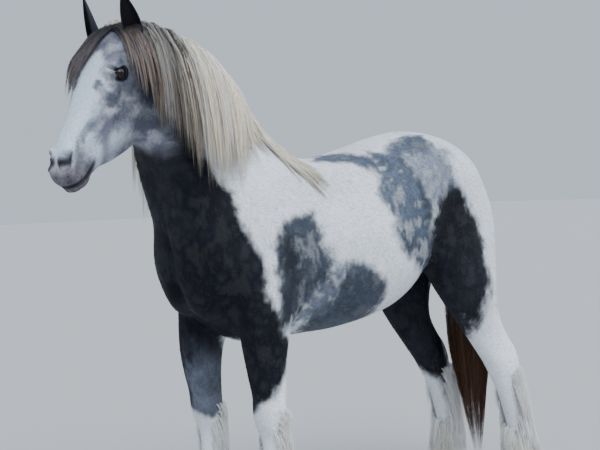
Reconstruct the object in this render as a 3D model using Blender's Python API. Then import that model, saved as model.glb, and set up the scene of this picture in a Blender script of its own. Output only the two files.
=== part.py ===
"""Cob horse, standing, life size: a museum model of a heavy, feathered riding horse.

Metres, +Z up. The horse faces +X, its left side is +Y, and the floor is z = 0.
The flesh is one set of soft forms (trunk, neck, head, limbs, muscles) blended into a skin,
which thin cuts part into head, neck, torso and legs. Mane, forelock, feather and tail are
tapered locks that grow from it, fall, and lie on it.
"""

import math

import bmesh
import bpy
import numpy as np
from mathutils import Matrix, Vector

# Driving dimensions, in metres
HEAD_PIVOT = (1.000, 0.0, 1.885)  # top of the poll
HEAD_PITCH = 52.0  # the face line, in degrees below level
HEAD_YAW = 21.0  # the head turns this far to the horse's left
HEAD_SCALE = 1.03
NECK_BASE = (0.50, 0.0, 1.16)
NECK_PITCH = -53.5  # the neck's axis rises
JOIN_GAP = 0.0003  # between touching nodes
BODY_VOXEL = 0.012  # grain of the rough skin
HEAD_VOXEL = 0.005
MIDDLE = (-0.239, 0.0, 0.0)  # moves the model so that the origin is under its middle

# Stations of a form: distance along its axis, top, bottom, side centre, half width, egg.
# A positive egg makes a section wider at its bottom, and a negative one wider at its top.
TRUNK = (
    (-0.725, 1.170, 1.070, 0.0, 0.050, 0.00),
    (-0.690, 1.250, 1.000, 0.0, 0.110, 0.00),
    (-0.630, 1.342, 0.950, 0.0, 0.170, 0.00),
    (-0.540, 1.413, 0.945, 0.0, 0.215, -0.05),
    (-0.440, 1.463, 0.940, 0.0, 0.245, -0.05),
    (-0.330, 1.481, 0.912, 0.0, 0.262, 0.00),
    (-0.200, 1.460, 0.845, 0.0, 0.285, 0.05),
    (-0.050, 1.420, 0.772, 0.0, 0.298, 0.10),
    (0.100, 1.386, 0.720, 0.0, 0.298, 0.12),
    (0.250, 1.374, 0.709, 0.0, 0.280, 0.12),
    (0.380, 1.388, 0.705, 0.0, 0.252, 0.10),
    (0.520, 1.380, 0.704, 0.0, 0.230, 0.05),
    (0.640, 1.320, 0.772, 0.0, 0.210, 0.00),
    (0.740, 1.230, 0.860, 0.0, 0.165, 0.00),
    (0.795, 1.120, 0.950, 0.0, 0.085, 0.00),
)
NECK = (
    (0.00, 0.280, -0.320, 0.0, 0.190, 0.20),
    (0.10, 0.278, -0.300, 0.0, 0.178, 0.25),
    (0.20, 0.276, -0.255, 0.0, 0.155, 0.25),
    (0.32, 0.274, -0.200, 0.0, 0.125, 0.25),
    (0.44, 0.260, -0.168, 0.0, 0.104, 0.20),
    (0.56, 0.236, -0.152, 0.0, 0.093, 0.10),
    (0.68, 0.196, -0.128, 0.0, 0.084, 0.00),
    (0.79, 0.122, -0.060, 0.0, 0.066, 0.00),
)
HEAD = (
    (-0.045, -0.060, -0.170, 0.0, 0.060, 0.00),
    (0.000, -0.022, -0.215, 0.0, 0.076, -0.10),
    (0.060, -0.005, -0.250, 0.0, 0.089, -0.20),
    (0.130, 0.000, -0.286, 0.0, 0.098, -0.28),
    (0.200, 0.000, -0.312, 0.0, 0.098, -0.32),
    (0.270, -0.003, -0.320, 0.0, 0.086, -0.32),
    (0.340, -0.008, -0.300, 0.0, 0.070, -0.28),
    (0.410, -0.012, -0.258, 0.0, 0.057, -0.18),
    (0.480, -0.013, -0.208, 0.0, 0.050, -0.08),
    (0.540, -0.018, -0.180, 0.0, 0.047, 0.00),
    (0.585, -0.034, -0.168, 0.0, 0.044, 0.00),
    (0.615, -0.060, -0.150, 0.0, 0.035, 0.00),
    (0.632, -0.085, -0.126, 0.0, 0.018, 0.00),
)
# Limb stations run up from the ground: height, front, back, side centre, half width, egg.
FORELEG = (
    (0.035, 0.600, 0.480, 0.168, 0.058, 0.0),
    (0.085, 0.576, 0.482, 0.168, 0.048, 0.0),
    (0.120, 0.554, 0.468, 0.168, 0.042, 0.0),
    (0.155, 0.546, 0.446, 0.168, 0.047, 0.0),
    (0.200, 0.536, 0.456, 0.168, 0.040, 0.0),
    (0.270, 0.532, 0.460, 0.168, 0.037, 0.0),
    (0.350, 0.538, 0.458, 0.168, 0.041, 0.0),
    (0.395, 0.556, 0.454, 0.168, 0.054, 0.0),
    (0.450, 0.566, 0.448, 0.168, 0.060, 0.0),
    (0.500, 0.570, 0.442, 0.168, 0.053, 0.0),
    (0.580, 0.586, 0.436, 0.168, 0.056, 0.0),
    (0.680, 0.606, 0.428, 0.171, 0.067, 0.0),
    (0.780, 0.622, 0.408, 0.174, 0.079, 0.0),
    (0.860, 0.638, 0.375, 0.168, 0.086, 0.0),
    (0.950, 0.650, 0.360, 0.148, 0.085, 0.0),
    (1.050, 0.655, 0.360, 0.120, 0.080, 0.0),
)
HINDLEG = (
    (0.035, -0.645, -0.755, 0.168, 0.057, 0.0),
    (0.085, -0.664, -0.756, 0.168, 0.048, 0.0),
    (0.120, -0.682, -0.770, 0.168, 0.043, 0.0),
    (0.160, -0.690, -0.792, 0.168, 0.048, 0.0),
    (0.210, -0.692, -0.782, 0.168, 0.041, 0.0),
    (0.300, -0.672, -0.772, 0.168, 0.039, 0.0),
    (0.400, -0.642, -0.766, 0.168, 0.044, 0.0),
    (0.460, -0.614, -0.756, 0.168, 0.051, 0.0),
    (0.520, -0.582, -0.752, 0.168, 0.056, 0.0),
    (0.565, -0.548, -0.742, 0.168, 0.052, 0.0),
    (0.620, -0.506, -0.704, 0.170, 0.053, 0.0),
    (0.690, -0.452, -0.660, 0.176, 0.064, 0.0),
    (0.780, -0.385, -0.638, 0.182, 0.082, 0.0),
    (0.880, -0.322, -0.643, 0.180, 0.098, 0.0),
    (0.980, -0.285, -0.663, 0.163, 0.108, 0.0),
    (1.100, -0.262, -0.680, 0.138, 0.110, 0.0),
    (1.220, -0.265, -0.650, 0.110, 0.095, 0.0),
    (1.310, -0.280, -0.580, 0.080, 0.070, 0.0),
)
LEAN_TOP = 0.95  # a leg's stance is spread from this height down to the ground
BEND_AT, BEND_REACH = 0.62, 0.20  # a leg's bend moves it most at this height
# Each leg: its side, its stations, how far its hoof stands forward and out of square,
# and how far its middle is bent forward
LEGS = {
    "fore_left": (1, FORELEG, (0.000, 0.005, 0.000)),
    "fore_right": (-1, FORELEG, (0.060, 0.000, 0.034)),
    "hind_left": (1, HINDLEG, (-0.055, 0.020, 0.000)),
    "hind_right": (-1, HINDLEG, (0.024, -0.020, 0.040)),
}

# Muscles and bones as ellipsoids: centre and radii along, up and to the side, then pitch
BODY_LUMPS = {
    "shoulder blade": ((0.545, 1.160, 0.115), (0.240, 0.125, 0.080), 55.0),
    "upper arm": ((0.500, 0.985, 0.150), (0.150, 0.115, 0.080), 20.0),
    "point of shoulder": ((0.700, 1.010, 0.110), (0.070, 0.085, 0.070), 0.0),
    "breast": ((0.705, 0.930, 0.065), (0.070, 0.110, 0.070), 0.0),
    "withers": ((0.390, 1.330, 0.000), (0.190, 0.080, 0.060), -4.0),
    "rump": ((-0.410, 1.285, 0.112), (0.225, 0.140, 0.130), -14.0),
    "hip": ((-0.235, 1.270, 0.175), (0.090, 0.070, 0.070), 0.0),
    "buttock": ((-0.590, 1.110, 0.105), (0.085, 0.160, 0.080), -8.0),
    "neck muscle": ((0.745, 1.250, 0.100), (0.230, 0.055, 0.050), -62.0),
    "barrel": ((0.040, 1.005, 0.140), (0.320, 0.235, 0.155), 0.0),
}
# Hollows, in the same terms
BODY_HOLLOWS = {
    "flank": ((-0.215, 1.090, 0.345), (0.070, 0.130, 0.060), 20.0),
    "between the buttocks": ((-0.790, 1.060, 0.000), (0.110, 0.200, 0.022), 0.0),
    "between the breasts": ((0.815, 0.950, 0.000), (0.060, 0.150, 0.020), 0.0),
    "stifle fold": ((-0.235, 1.120, 0.330), (0.034, 0.180, 0.080), 16.0),
}
HEAD_LUMPS = {
    "cheek": ((0.225, -0.206, 0.050), (0.105, 0.094, 0.037), 0.0),
    "brow": ((0.196, -0.017, 0.068), (0.048, 0.020, 0.026), 0.0),
    "temple": ((0.070, -0.060, 0.062), (0.060, 0.045, 0.022), 0.0),
    "ear foot": ((0.050, -0.064, 0.074), (0.030, 0.036, 0.027), 0.0),
    "cheek bone": ((0.335, -0.088, 0.056), (0.100, 0.012, 0.014), 4.0),
    "nostril wing": ((0.578, -0.038, 0.036), (0.044, 0.024, 0.020), 0.0),
    "upper lip": ((0.594, -0.088, 0.014), (0.036, 0.034, 0.031), 0.0),
    "lower lip": ((0.592, -0.148, 0.006), (0.036, 0.018, 0.027), 0.0),
    "chin": ((0.562, -0.168, 0.000), (0.032, 0.020, 0.027), 0.0),
}
HEAD_HOLLOWS = {
    "above the eye": ((0.138, -0.036, 0.122), (0.034, 0.018, 0.024), 0.0),
    "below the cheek bone": ((0.370, -0.165, 0.100), (0.080, 0.036, 0.040), 8.0),
    "between the jaws": ((0.350, -0.352, 0.000), (0.170, 0.070, 0.028), -24.0),
    "beside the nose": ((0.450, -0.045, 0.085), (0.070, 0.018, 0.034), 0.0),
    "behind the chin": ((0.502, -0.228, 0.000), (0.026, 0.022, 0.050), -24.0),
}
EYE_CENTRE = (0.211, -0.047, 0.0860)
EYE_RADIUS = 0.0235
EYE_OUT = (0.22, 0.30, 1.0)  # where the eye looks, in the head's own directions
EYE_TILT = 14.0  # the inner corner lies lower, in degrees
LID_THICK = 0.0032
LID_LENGTH = 0.0225  # half the opening
LID_UP = 0.0150
LID_DOWN = 0.0115
NOSTRIL = (0.571, -0.050, 0.056)
NOSTRIL_RADII = (0.024, 0.0115, 0.014)
NOSTRIL_TURN = 24.0
MOUTH_CORNER = 0.490
MOUTH_LINE = ((0.48, -0.146), (0.52, -0.152), (0.56, -0.149), (0.60, -0.135), (0.66, -0.105))
MOUTH_WIDTH = 0.0018
MOUTH_DEPTH = 0.007

EAR_ROOT = (0.052, -0.062, 0.084)  # in the head's own directions, for the left ear
EAR_AIM = (-0.45, 0.89, 0.00)
EAR_OPEN = (0.75, 0.30, 0.55)  # the way the cup faces
EAR_LENGTH = 0.212
EAR_SINK = 0.022  # the foot starts this deep, and is cut at the skin
EAR_WALL = 0.0045
# The ear from its foot to its tip: share of the length, half width, half the wrap in degrees
EAR_SHAPE = (
    (0.00, 0.0240, 150.0),
    (0.12, 0.0300, 140.0),
    (0.28, 0.0345, 118.0),
    (0.45, 0.0340, 100.0),
    (0.62, 0.0290, 90.0),
    (0.78, 0.0200, 84.0),
    (0.90, 0.0110, 80.0),
    (1.00, 0.0030, 76.0),
)

HOOF_HEIGHT = 0.062
HOOF_SLOPE = 14.0  # the coronet falls to the heel, in degrees
SOLE_RADII = (0.078, 0.072)
CORONET_RADII = (0.060, 0.058)
HOOF_SIDES = 20
FORE_HOOF = (0.548, 0.534)  # middle of the sole and of the coronet
HIND_HOOF = (-0.698, -0.714)

# The tail's middle line from the dock to the tips: x, z, half width, half depth
TAIL_LINE = (
    (-0.640, 1.318, 0.018, 0.018),
    (-0.695, 1.300, 0.030, 0.026),
    (-0.732, 1.230, 0.038, 0.032),
    (-0.742, 1.100, 0.052, 0.040),
    (-0.726, 0.900, 0.082, 0.048),
    (-0.716, 0.680, 0.096, 0.052),
    (-0.728, 0.500, 0.072, 0.044),
    (-0.737, 0.380, 0.048, 0.034),
    (-0.750, 0.220, 0.026, 0.020),
    (-0.758, 0.090, 0.008, 0.008),
)
TAIL_GAP = 0.001  # between the tail and the buttocks

# Hair: how a lock falls and how thick it is
LOCK_DEPTH = 0.013
ROOT_SINK = 0.016
FLOOR_GAP = 0.012
MANE_REACH = (0.135, 0.80)  # along the neck's axis
MANE_ROWS = ((0.010, 0.006), (0.026, 0.000))  # each row: distance to the side, and its lift
MANE_COUNT = 6
MANE_WIDTH = 0.098
MANE_LENGTH = ((0.10, 0.26), (0.25, 0.36), (0.45, 0.50), (0.62, 0.56), (0.75, 0.46))
FORELOCK_COUNT = 6
FORELOCK_LENGTHS = (0.23, 0.28)  # left, right
FORELOCK_WIDTH = 0.030
# Tiers of the feather: height of the roots, length, half the arc in degrees, and how many
FORE_FEATHER = ((0.360, 0.140, 45.0, 2), (0.270, 0.170, 85.0, 3), (0.165, 0.165, 150.0, 6))
HIND_FEATHER = ((0.390, 0.150, 45.0, 2), (0.290, 0.175, 85.0, 3), (0.175, 0.170, 150.0, 6))
FEATHER_WIDTH = 0.076
# Tiers of the tail's locks: where they start and end along it, and how many
TAIL_TIERS = ((0.10, 0.72, 2), (0.35, 0.88, 3), (0.52, 0.99, 3))
TAIL_WIDTH = 0.066

COLOURS = {
    "coat": (0.33, 0.34, 0.38),
    "mane": (0.62, 0.58, 0.50),
    "feather": (0.70, 0.68, 0.62),
    "tail": (0.10, 0.05, 0.04),
    "hoof": (0.20, 0.18, 0.16),
    "eye": (0.02, 0.015, 0.012),
    "ear": (0.06, 0.06, 0.07),
}


def axes_of(pitch, yaw=0.0):
    """Rows: along the axis, up from it, and to the left. A positive pitch points down."""
    p, y = math.radians(pitch), math.radians(yaw)
    turn = np.array(
        ((math.cos(y), -math.sin(y), 0), (math.sin(y), math.cos(y), 0), (0, 0, 1))
    )
    along = turn @ (math.cos(p), 0, -math.sin(p))
    up = turn @ (math.sin(p), 0, math.cos(p))
    return np.array((along, up, turn @ (0, 1, 0)))


LEVEL = axes_of(0.0)
UPRIGHT = np.array(((0, 0, 1), (1, 0, 0), (0, 1, 0)), float)
HEAD_AXES = axes_of(HEAD_PITCH, HEAD_YAW)
NECK_AXES = axes_of(NECK_PITCH)


def soft_min(a, b, k):
    h = np.maximum(k - np.abs(a - b), 0) / k
    return np.minimum(a, b) - h * h * k / 4


def soft_max(a, b, k):
    return -soft_min(-a, -b, k)


def unit(v):
    v = np.asarray(v, float)
    return v / np.maximum(np.linalg.norm(v, axis=-1, keepdims=True), 1e-9)


def spread(stations, count=160):
    """The stations as a fine table, with a smooth curve through each column."""
    rows = np.array(stations, float)
    u = rows[:, 0]
    slope = np.gradient(rows, u, axis=0)
    fine = np.linspace(u[0], u[-1], count)
    i = np.clip(np.searchsorted(u, fine, side="right") - 1, 0, len(u) - 2)
    step = (u[i + 1] - u[i])[:, None]
    t = (fine - u[i])[:, None] / step
    return (
        rows[i] * (1 + 2 * t) * (1 - t) ** 2
        + rows[i + 1] * t * t * (3 - 2 * t)
        + slope[i] * step * t * (1 - t) ** 2
        - slope[i + 1] * step * t * t * (1 - t)
    )


def stance(height, lean):
    """How far a leg's stance moves its points at a height."""
    share = np.clip((LEAN_TOP - height) / LEAN_TOP, 0, 1)
    bent = np.exp(-(((height - BEND_AT) / BEND_REACH) ** 2))
    return np.stack((share * lean[0] + bent * lean[2], share * lean[1], 0 * height), -1)


class Form:
    """A soft shape along a straight axis, from stations of top, bottom and half width."""

    def __init__(self, stations, origin=(0, 0, 0), axes=LEVEL, side=0, lean=(0, 0, 0), power=2.3):
        self.table = spread(stations)
        self.origin = np.array(origin, float)
        self.axes = axes
        self.side = side  # 1 left, -1 right, 0 on the middle line
        self.lean = lean
        self.power = power

    def leant(self, p, way):
        """Moves points by the leg's stance, or back."""
        return p + way * stance(p[:, 2], self.lean)

    def field(self, p):
        """About the distance from the surface, negative inside."""
        u, v, w = ((self.leant(p, -1) - self.origin) @ self.axes.T).T
        w = w * self.side if self.side else w
        t = self.table
        top, bottom, centre, half, egg = (np.interp(u, t[:, 0], t[:, k]) for k in range(1, 6))
        middle = (top + bottom) / 2
        tall = np.abs(top - bottom) / 2
        wide = half * (1 - egg * np.clip((v - middle) / tall, -1, 1))
        v = v - middle
        w = w - centre
        ratio = (np.abs(v / tall) ** self.power + np.abs(w / wide) ** self.power) ** (
            1 / self.power
        )
        out = np.hypot(v, w)
        flank = np.where(ratio > 0.05, out - out / np.maximum(ratio, 0.05), -np.minimum(tall, wide))
        end = np.maximum(t[0, 0] - u, u - t[-1, 0])
        return soft_max(flank, end, 0.02)

    def rings(self, count, sides):
        """Rings of points along the axis."""
        angle = np.linspace(0, 2 * math.pi, sides, endpoint=False)
        bend = 2 / self.power
        c = np.sign(np.cos(angle)) * np.abs(np.cos(angle)) ** bend
        s = np.sign(np.sin(angle)) * np.abs(np.sin(angle)) ** bend
        rows = self.table[np.linspace(0, len(self.table) - 1, count).astype(int)]
        for u, top, bottom, centre, half, egg in rows:
            v = (top + bottom) / 2 + s * abs(top - bottom) / 2
            w = (centre + c * half * (1 - egg * s)) * (self.side or 1)
            yield self.leant(np.stack((np.full(sides, u), v, w), 1) @ self.axes + self.origin, 1)


class Lump:
    """An ellipsoid, on both sides where its centre is off the middle."""

    def __init__(self, centre, radii, pitch):
        self.centre, self.radii = np.array(centre), np.array(radii)
        p = math.radians(pitch)
        self.turn = np.array(
            ((math.cos(p), -math.sin(p), 0), (math.sin(p), math.cos(p), 0), (0, 0, 1))
        )

    def field(self, q):
        q = np.stack((q[:, 0], q[:, 1], np.abs(q[:, 2])), 1)
        q = (q - self.centre) @ self.turn.T
        near = np.linalg.norm(q / self.radii, axis=1)
        slope = np.linalg.norm(q / self.radii**2, axis=1)
        return near * (near - 1) / np.maximum(slope, 1e-6)


TRUNK_FORM = Form(TRUNK, power=2.25)
NECK_FORM = Form(NECK, NECK_BASE, NECK_AXES, power=2.2)
HEAD_FORM = Form(HEAD, axes=np.eye(3), power=2.5)
LEG_FORMS = {
    name: Form(stations, axes=UPRIGHT, side=side, lean=lean, power=2.2)
    for name, (side, stations, lean) in LEGS.items()
}
BODY_MUSCLES = [Lump(*lump) for lump in BODY_LUMPS.values()]
BODY_DENTS = [Lump(*lump) for lump in BODY_HOLLOWS.values()]
HEAD_BONES = [Lump(*lump) for lump in HEAD_LUMPS.values()]
HEAD_DENTS = [Lump(*lump) for lump in HEAD_HOLLOWS.values()]


def to_head(p):
    """World points in the head's own directions: along the face, up from it, left."""
    return (p - np.array(HEAD_PIVOT)) @ HEAD_AXES.T / HEAD_SCALE


def from_head(q):
    return np.asarray(q, float) * HEAD_SCALE @ HEAD_AXES + np.array(HEAD_PIVOT)


def eye_axes():
    """Rows: towards the inner corner, up the lid, and out, for the left eye."""
    out = unit(EYE_OUT)
    t = math.radians(EYE_TILT)
    inner = np.array((math.cos(t), -math.sin(t), 0.0))
    inner = unit(inner - out * (inner @ out))
    return np.array((inner, np.cross(out, inner), out))


EYE_AXES = eye_axes()


def head_details(q, d):
    """Lids, nostrils and mouth, cut into or laid on the head."""
    q = np.stack((q[:, 0], q[:, 1], np.abs(q[:, 2])), 1)
    e = q - np.array(EYE_CENTRE)
    away = np.linalg.norm(e, axis=1)
    d = soft_min(d, away - EYE_RADIUS - LID_THICK, 0.014)
    a, b, out = (e @ EYE_AXES.T).T
    arch = np.sqrt(np.clip(1 - (a / LID_LENGTH) ** 2, 0, 1))
    almond = np.where(b > 0, b - LID_UP * arch, -b - LID_DOWN * arch)
    almond = np.maximum(almond, np.abs(a) - LID_LENGTH)
    pit = np.maximum(np.maximum(almond, EYE_RADIUS - 0.004 - away), -out)
    d = soft_max(d, -pit, 0.002)
    t = math.radians(NOSTRIL_TURN)
    n = q - np.array(NOSTRIL)
    turned = np.stack(
        (n[:, 0] * math.cos(t) - n[:, 1] * math.sin(t), n[:, 0] * math.sin(t) + n[:, 1] * math.cos(t)),
        1,
    )
    n = np.column_stack((turned, n[:, 2]))
    near = np.linalg.norm(n / NOSTRIL_RADII, axis=1)
    hole = near * (near - 1) / np.maximum(np.linalg.norm(n / np.square(NOSTRIL_RADII), axis=1), 1e-6)
    d = soft_max(d, -hole, 0.008)
    line = np.array(MOUTH_LINE)
    level = np.interp(q[:, 0], line[:, 0], line[:, 1])
    slit = np.maximum(np.abs(q[:, 1] - level) - MOUTH_WIDTH, MOUTH_CORNER - q[:, 0])
    slit = np.maximum(slit, -(d + MOUTH_DEPTH))
    return soft_max(d, -slit, 0.004)


def head_field(p):
    q = to_head(p)
    d = HEAD_FORM.field(q)
    for bone in HEAD_BONES:
        d = soft_min(d, bone.field(q), 0.020)
    for dent in HEAD_DENTS:
        d = soft_max(d, -dent.field(q), 0.025)
    return d * HEAD_SCALE


def skin_field(p):
    """About the distance from the whole horse's skin, negative inside."""
    q = p[:, (0, 2, 1)]
    d = TRUNK_FORM.field(p)
    for muscle in BODY_MUSCLES:
        d = soft_min(d, muscle.field(q), 0.06)
    for form in LEG_FORMS.values():
        d = soft_min(d, form.field(p), 0.05)
    d = soft_min(d, NECK_FORM.field(p), 0.09)
    for dent in BODY_DENTS:
        d = soft_max(d, -dent.field(q), 0.04)
    d = soft_min(d, head_field(p), 0.045)
    near = np.linalg.norm(p - from_head((0.35, -0.1, 0)), axis=1) < 0.50
    d[near] = head_details(to_head(p[near]), d[near] / HEAD_SCALE) * HEAD_SCALE
    return d


def slope_of(p, field=skin_field):
    """The unit direction out of the surface."""
    e = 0.002
    here = field(p)
    return unit(np.stack([field(p + np.eye(3)[k] * e) - here for k in range(3)], 1))


def settle(p, field, rounds=6, longest=0.03):
    """Moves points onto the surface where the field is zero."""
    e = 0.0006
    for _ in range(rounds):
        here = field(p)
        slope = np.stack([(field(p + np.eye(3)[k] * e) - here) / e for k in range(3)], 1)
        size = np.maximum((slope**2).sum(1), 0.05)
        move = -(here / size)[:, None] * slope
        far = np.linalg.norm(move, axis=1)[:, None]
        p = p + move * np.minimum(1, longest / np.maximum(far, 1e-9))
    return p


def mesh_object(name, points, faces):
    mesh = bpy.data.meshes.new(name)
    mesh.from_pydata([tuple(q) for q in points], [], faces)
    mesh.validate()
    obj = bpy.data.objects.new(name, mesh)
    bpy.context.scene.collection.objects.link(obj)
    return obj


def tube_mesh(rings):
    """Points and faces of a closed tube through rings of equal length."""
    rings = [np.asarray(ring) for ring in rings]
    n = len(rings[0])
    faces = [tuple(range(n))[::-1]]
    for i in range(len(rings) - 1):
        for j in range(n):
            k = (j + 1) % n
            faces.append((i * n + j, i * n + k, (i + 1) * n + k, (i + 1) * n + j))
    faces.append(tuple((len(rings) - 1) * n + j for j in range(n)))
    return np.concatenate(rings), faces


def closed_tube(name, rings):
    obj = mesh_object(name, *tube_mesh(rings))
    face_out(obj)
    return obj


def face_out(obj):
    bm = bmesh.new()
    bm.from_mesh(obj.data)
    bmesh.ops.triangulate(bm, faces=[f for f in bm.faces if len(f.verts) > 4])
    bmesh.ops.recalc_face_normals(bm, faces=bm.faces)
    bm.to_mesh(obj.data)
    bm.free()


def applied(obj):
    """Replaces the object's mesh by what its modifiers make of it."""
    graph = bpy.context.evaluated_depsgraph_get()
    mesh = bpy.data.meshes.new_from_object(obj.evaluated_get(graph))
    obj.modifiers.clear()
    old = obj.data
    obj.data = mesh
    bpy.data.meshes.remove(old)
    return obj


def coordinates(obj):
    p = np.empty(len(obj.data.vertices) * 3)
    obj.data.vertices.foreach_get("co", p)
    return p.reshape(-1, 3)


def set_coordinates(obj, p):
    obj.data.vertices.foreach_set("co", np.asarray(p, np.float32).ravel())
    obj.data.update()


def remeshed(obj, voxel):
    remesh = obj.modifiers.new("join", "REMESH")
    remesh.mode = "VOXEL"
    remesh.voxel_size = voxel
    return applied(obj)


def smoothed(obj, rounds):
    relax = obj.modifiers.new("relax", "SMOOTH")
    relax.iterations = rounds
    return applied(obj)


def thinned(obj, triangles):
    """The surface with about this many triangles."""
    split = obj.modifiers.new("split", "TRIANGULATE")
    split.min_vertices = 4
    applied(obj)
    thin = obj.modifiers.new("thin", "DECIMATE")
    thin.ratio = triangles / len(obj.data.polygons)
    return applied(obj)


def skin_of(name, tubes, voxel):
    """The skin around some forms: tubes joined by a voxel remesh, then laid on the field."""
    points, faces = [], []
    for rings in tubes:
        p, f = tube_mesh(rings)
        start = sum(len(q) for q in points)
        points.append(p)
        faces += [tuple(start + i for i in face) for face in f]
    skin = mesh_object(name, np.concatenate(points), faces)
    face_out(skin)
    remeshed(skin, voxel)
    for _ in range(2):
        set_coordinates(skin, settle(coordinates(skin), skin_field))
        smoothed(skin, 2)
    set_coordinates(skin, settle(coordinates(skin), skin_field))
    return skin


def body_skin():
    forms = (TRUNK_FORM, NECK_FORM, *LEG_FORMS.values())
    tubes = [list(form.rings(24, 18)) for form in forms]
    tubes.append([from_head(ring) for ring in HEAD_FORM.rings(24, 18)])
    return skin_of("skin", tubes, BODY_VOXEL)


def head_skin():
    tubes = [[from_head(ring) for ring in HEAD_FORM.rings(40, 28)]]
    tubes.append(list(NECK_FORM.rings(24, 18))[8:])
    return skin_of("head", tubes, HEAD_VOXEL)


def box_object(name, size, matrix):
    bm = bmesh.new()
    bmesh.ops.create_cube(bm, size=1.0, matrix=matrix @ Matrix.Diagonal((*size, 1.0)))
    mesh = bpy.data.meshes.new(name)
    bm.to_mesh(mesh)
    bm.free()
    obj = bpy.data.objects.new(name, mesh)
    bpy.context.scene.collection.objects.link(obj)
    return obj


def matrix_of(rows, at):
    """A matrix whose X, Y and Z point along the rows."""
    m = Matrix([tuple(r) for r in rows]).transposed().to_4x4()
    m.translation = Vector(at)
    return m


def combined(obj, others, operation):
    """One Boolean of the object with a collection, applied, with the others removed."""
    group = bpy.data.collections.new("others")
    bpy.context.scene.collection.children.link(group)
    for other in others:
        group.objects.link(other)
    boolean = obj.modifiers.new("combine", "BOOLEAN")
    boolean.operation = operation
    boolean.solver = "EXACT"
    boolean.operand_type = "COLLECTION"
    boolean.collection = group
    applied(obj)
    for other in others:
        bpy.data.objects.remove(other)
    bpy.data.collections.remove(group)
    return obj


def clear_of(obj, other, gap=JOIN_GAP * 1.5):
    """Cuts the object so that it ends a small gap off the other's surface."""
    cutter = other.copy()
    cutter.data = other.data.copy()
    bpy.context.scene.collection.objects.link(cutter)
    grow = cutter.modifiers.new("grow", "DISPLACE")
    grow.strength = gap
    grow.mid_level = 0.0
    applied(cutter)
    combined(obj, [cutter], "DIFFERENCE")
    return keep_largest(obj)


def loose_parts(obj):
    """The separate closed surfaces of an object, as points and faces."""
    bm = bmesh.new()
    bm.from_mesh(obj.data)
    bmesh.ops.triangulate(bm, faces=bm.faces)
    bm.faces.ensure_lookup_table()
    seen = set()
    parts = []
    for face in bm.faces:
        if face.index in seen:
            continue
        seen.add(face.index)
        group, edge = [face], [face]
        while edge:
            for link in edge.pop().edges:
                for other in link.link_faces if len(link.link_faces) == 2 else ():
                    if other.index not in seen:
                        seen.add(other.index)
                        group.append(other)
                        edge.append(other)
        order = sorted({v.index for f in group for v in f.verts})
        number = {index: k for k, index in enumerate(order)}
        bm.verts.ensure_lookup_table()
        points = np.array([bm.verts[index].co for index in order])
        parts.append((points, [tuple(number[v.index] for v in f.verts) for f in group]))
    bm.free()
    return parts


def volume_of(points, faces):
    a, b, c = (points[[face[k] for face in faces]] for k in range(3))
    return float(np.einsum("ij,ij->i", a, np.cross(b, c)).sum() / 6)


def keep_largest(obj):
    points, faces = max(loose_parts(obj), key=lambda part: abs(volume_of(*part)))
    name = obj.name
    bpy.data.objects.remove(obj)
    kept = mesh_object(name, points, faces)
    kept.name = name
    return kept


def nearest_part(obj, anchor):
    """Keeps the closed surface whose middle is nearest to a point."""
    points, faces = min(loose_parts(obj), key=lambda part: np.linalg.norm(part[0].mean(0) - anchor))
    bpy.data.objects.remove(obj)
    return mesh_object("part", points, faces)


def material_of(name, kind, roughness=0.6):
    material = bpy.data.materials.new(name)
    material.use_nodes = True
    shader = material.node_tree.nodes["Principled BSDF"]
    shader.inputs["Base Color"].default_value = (*COLOURS[kind], 1.0)
    shader.inputs["Roughness"].default_value = roughness
    material.diffuse_color = (*COLOURS[kind], 1.0)
    return material


def finished(obj, name, kind, roughness=0.6):
    obj.name = name
    obj.data.name = name
    obj.data.materials.clear()
    obj.data.materials.append(material_of(name, kind, roughness))
    obj.data.shade_smooth()
    obj.data.set_sharp_from_angle(angle=math.radians(50))
    return obj


# Hair


def hoof_field(p):
    """About the distance from the four hooves."""
    d = np.full(len(p), 9.0)
    for name in LEGS:
        sole, coronet = hoof_frame(name)
        share = np.clip(p[:, 2] / HOOF_HEIGHT, 0, 1.3)[:, None]
        middle = sole + (coronet - sole) * share
        radius = SOLE_RADII[0] + (CORONET_RADII[0] - SOLE_RADII[0]) * share[:, 0]
        flat = np.hypot(p[:, 0] - middle[:, 0], p[:, 1] - middle[:, 1]) - radius
        d = np.minimum(d, np.maximum(flat, p[:, 2] - HOOF_HEIGHT * 1.3))
    return d


def firm_field(p):
    """Distance from skin and hooves, for hair to lie on."""
    return np.minimum(skin_field(p), hoof_field(p))


def drape(roots, starts, lengths, lift, steps, fall):
    """Paths that leave their roots along starts, fall, and lie lifted off the skin."""
    down = np.array((0.0, 0.0, -1.0))
    normal = slope_of(roots, firm_field)
    paths = [roots - normal * ROOT_SINK]
    normals = [normal]
    p, d = roots + normal * lift[:, 0, None] * 0.5, unit(starts)
    length = (lengths / steps)[:, None]
    for i in range(1, steps + 1):
        d = unit(d * (1 - fall) + down * fall)
        q = p + d * length
        for _ in range(3):
            q[:, 2] = np.maximum(q[:, 2], FLOOR_GAP)
            short = lift[:, i] - firm_field(q)
            q = q + slope_of(q, firm_field) * np.maximum(short, 0)[:, None]
        d = unit(q - p)
        normal = slope_of(q, firm_field)
        paths.append(q)
        normals.append(normal)
        p = q
    return np.stack(paths, 1), np.stack(normals, 1)


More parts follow.
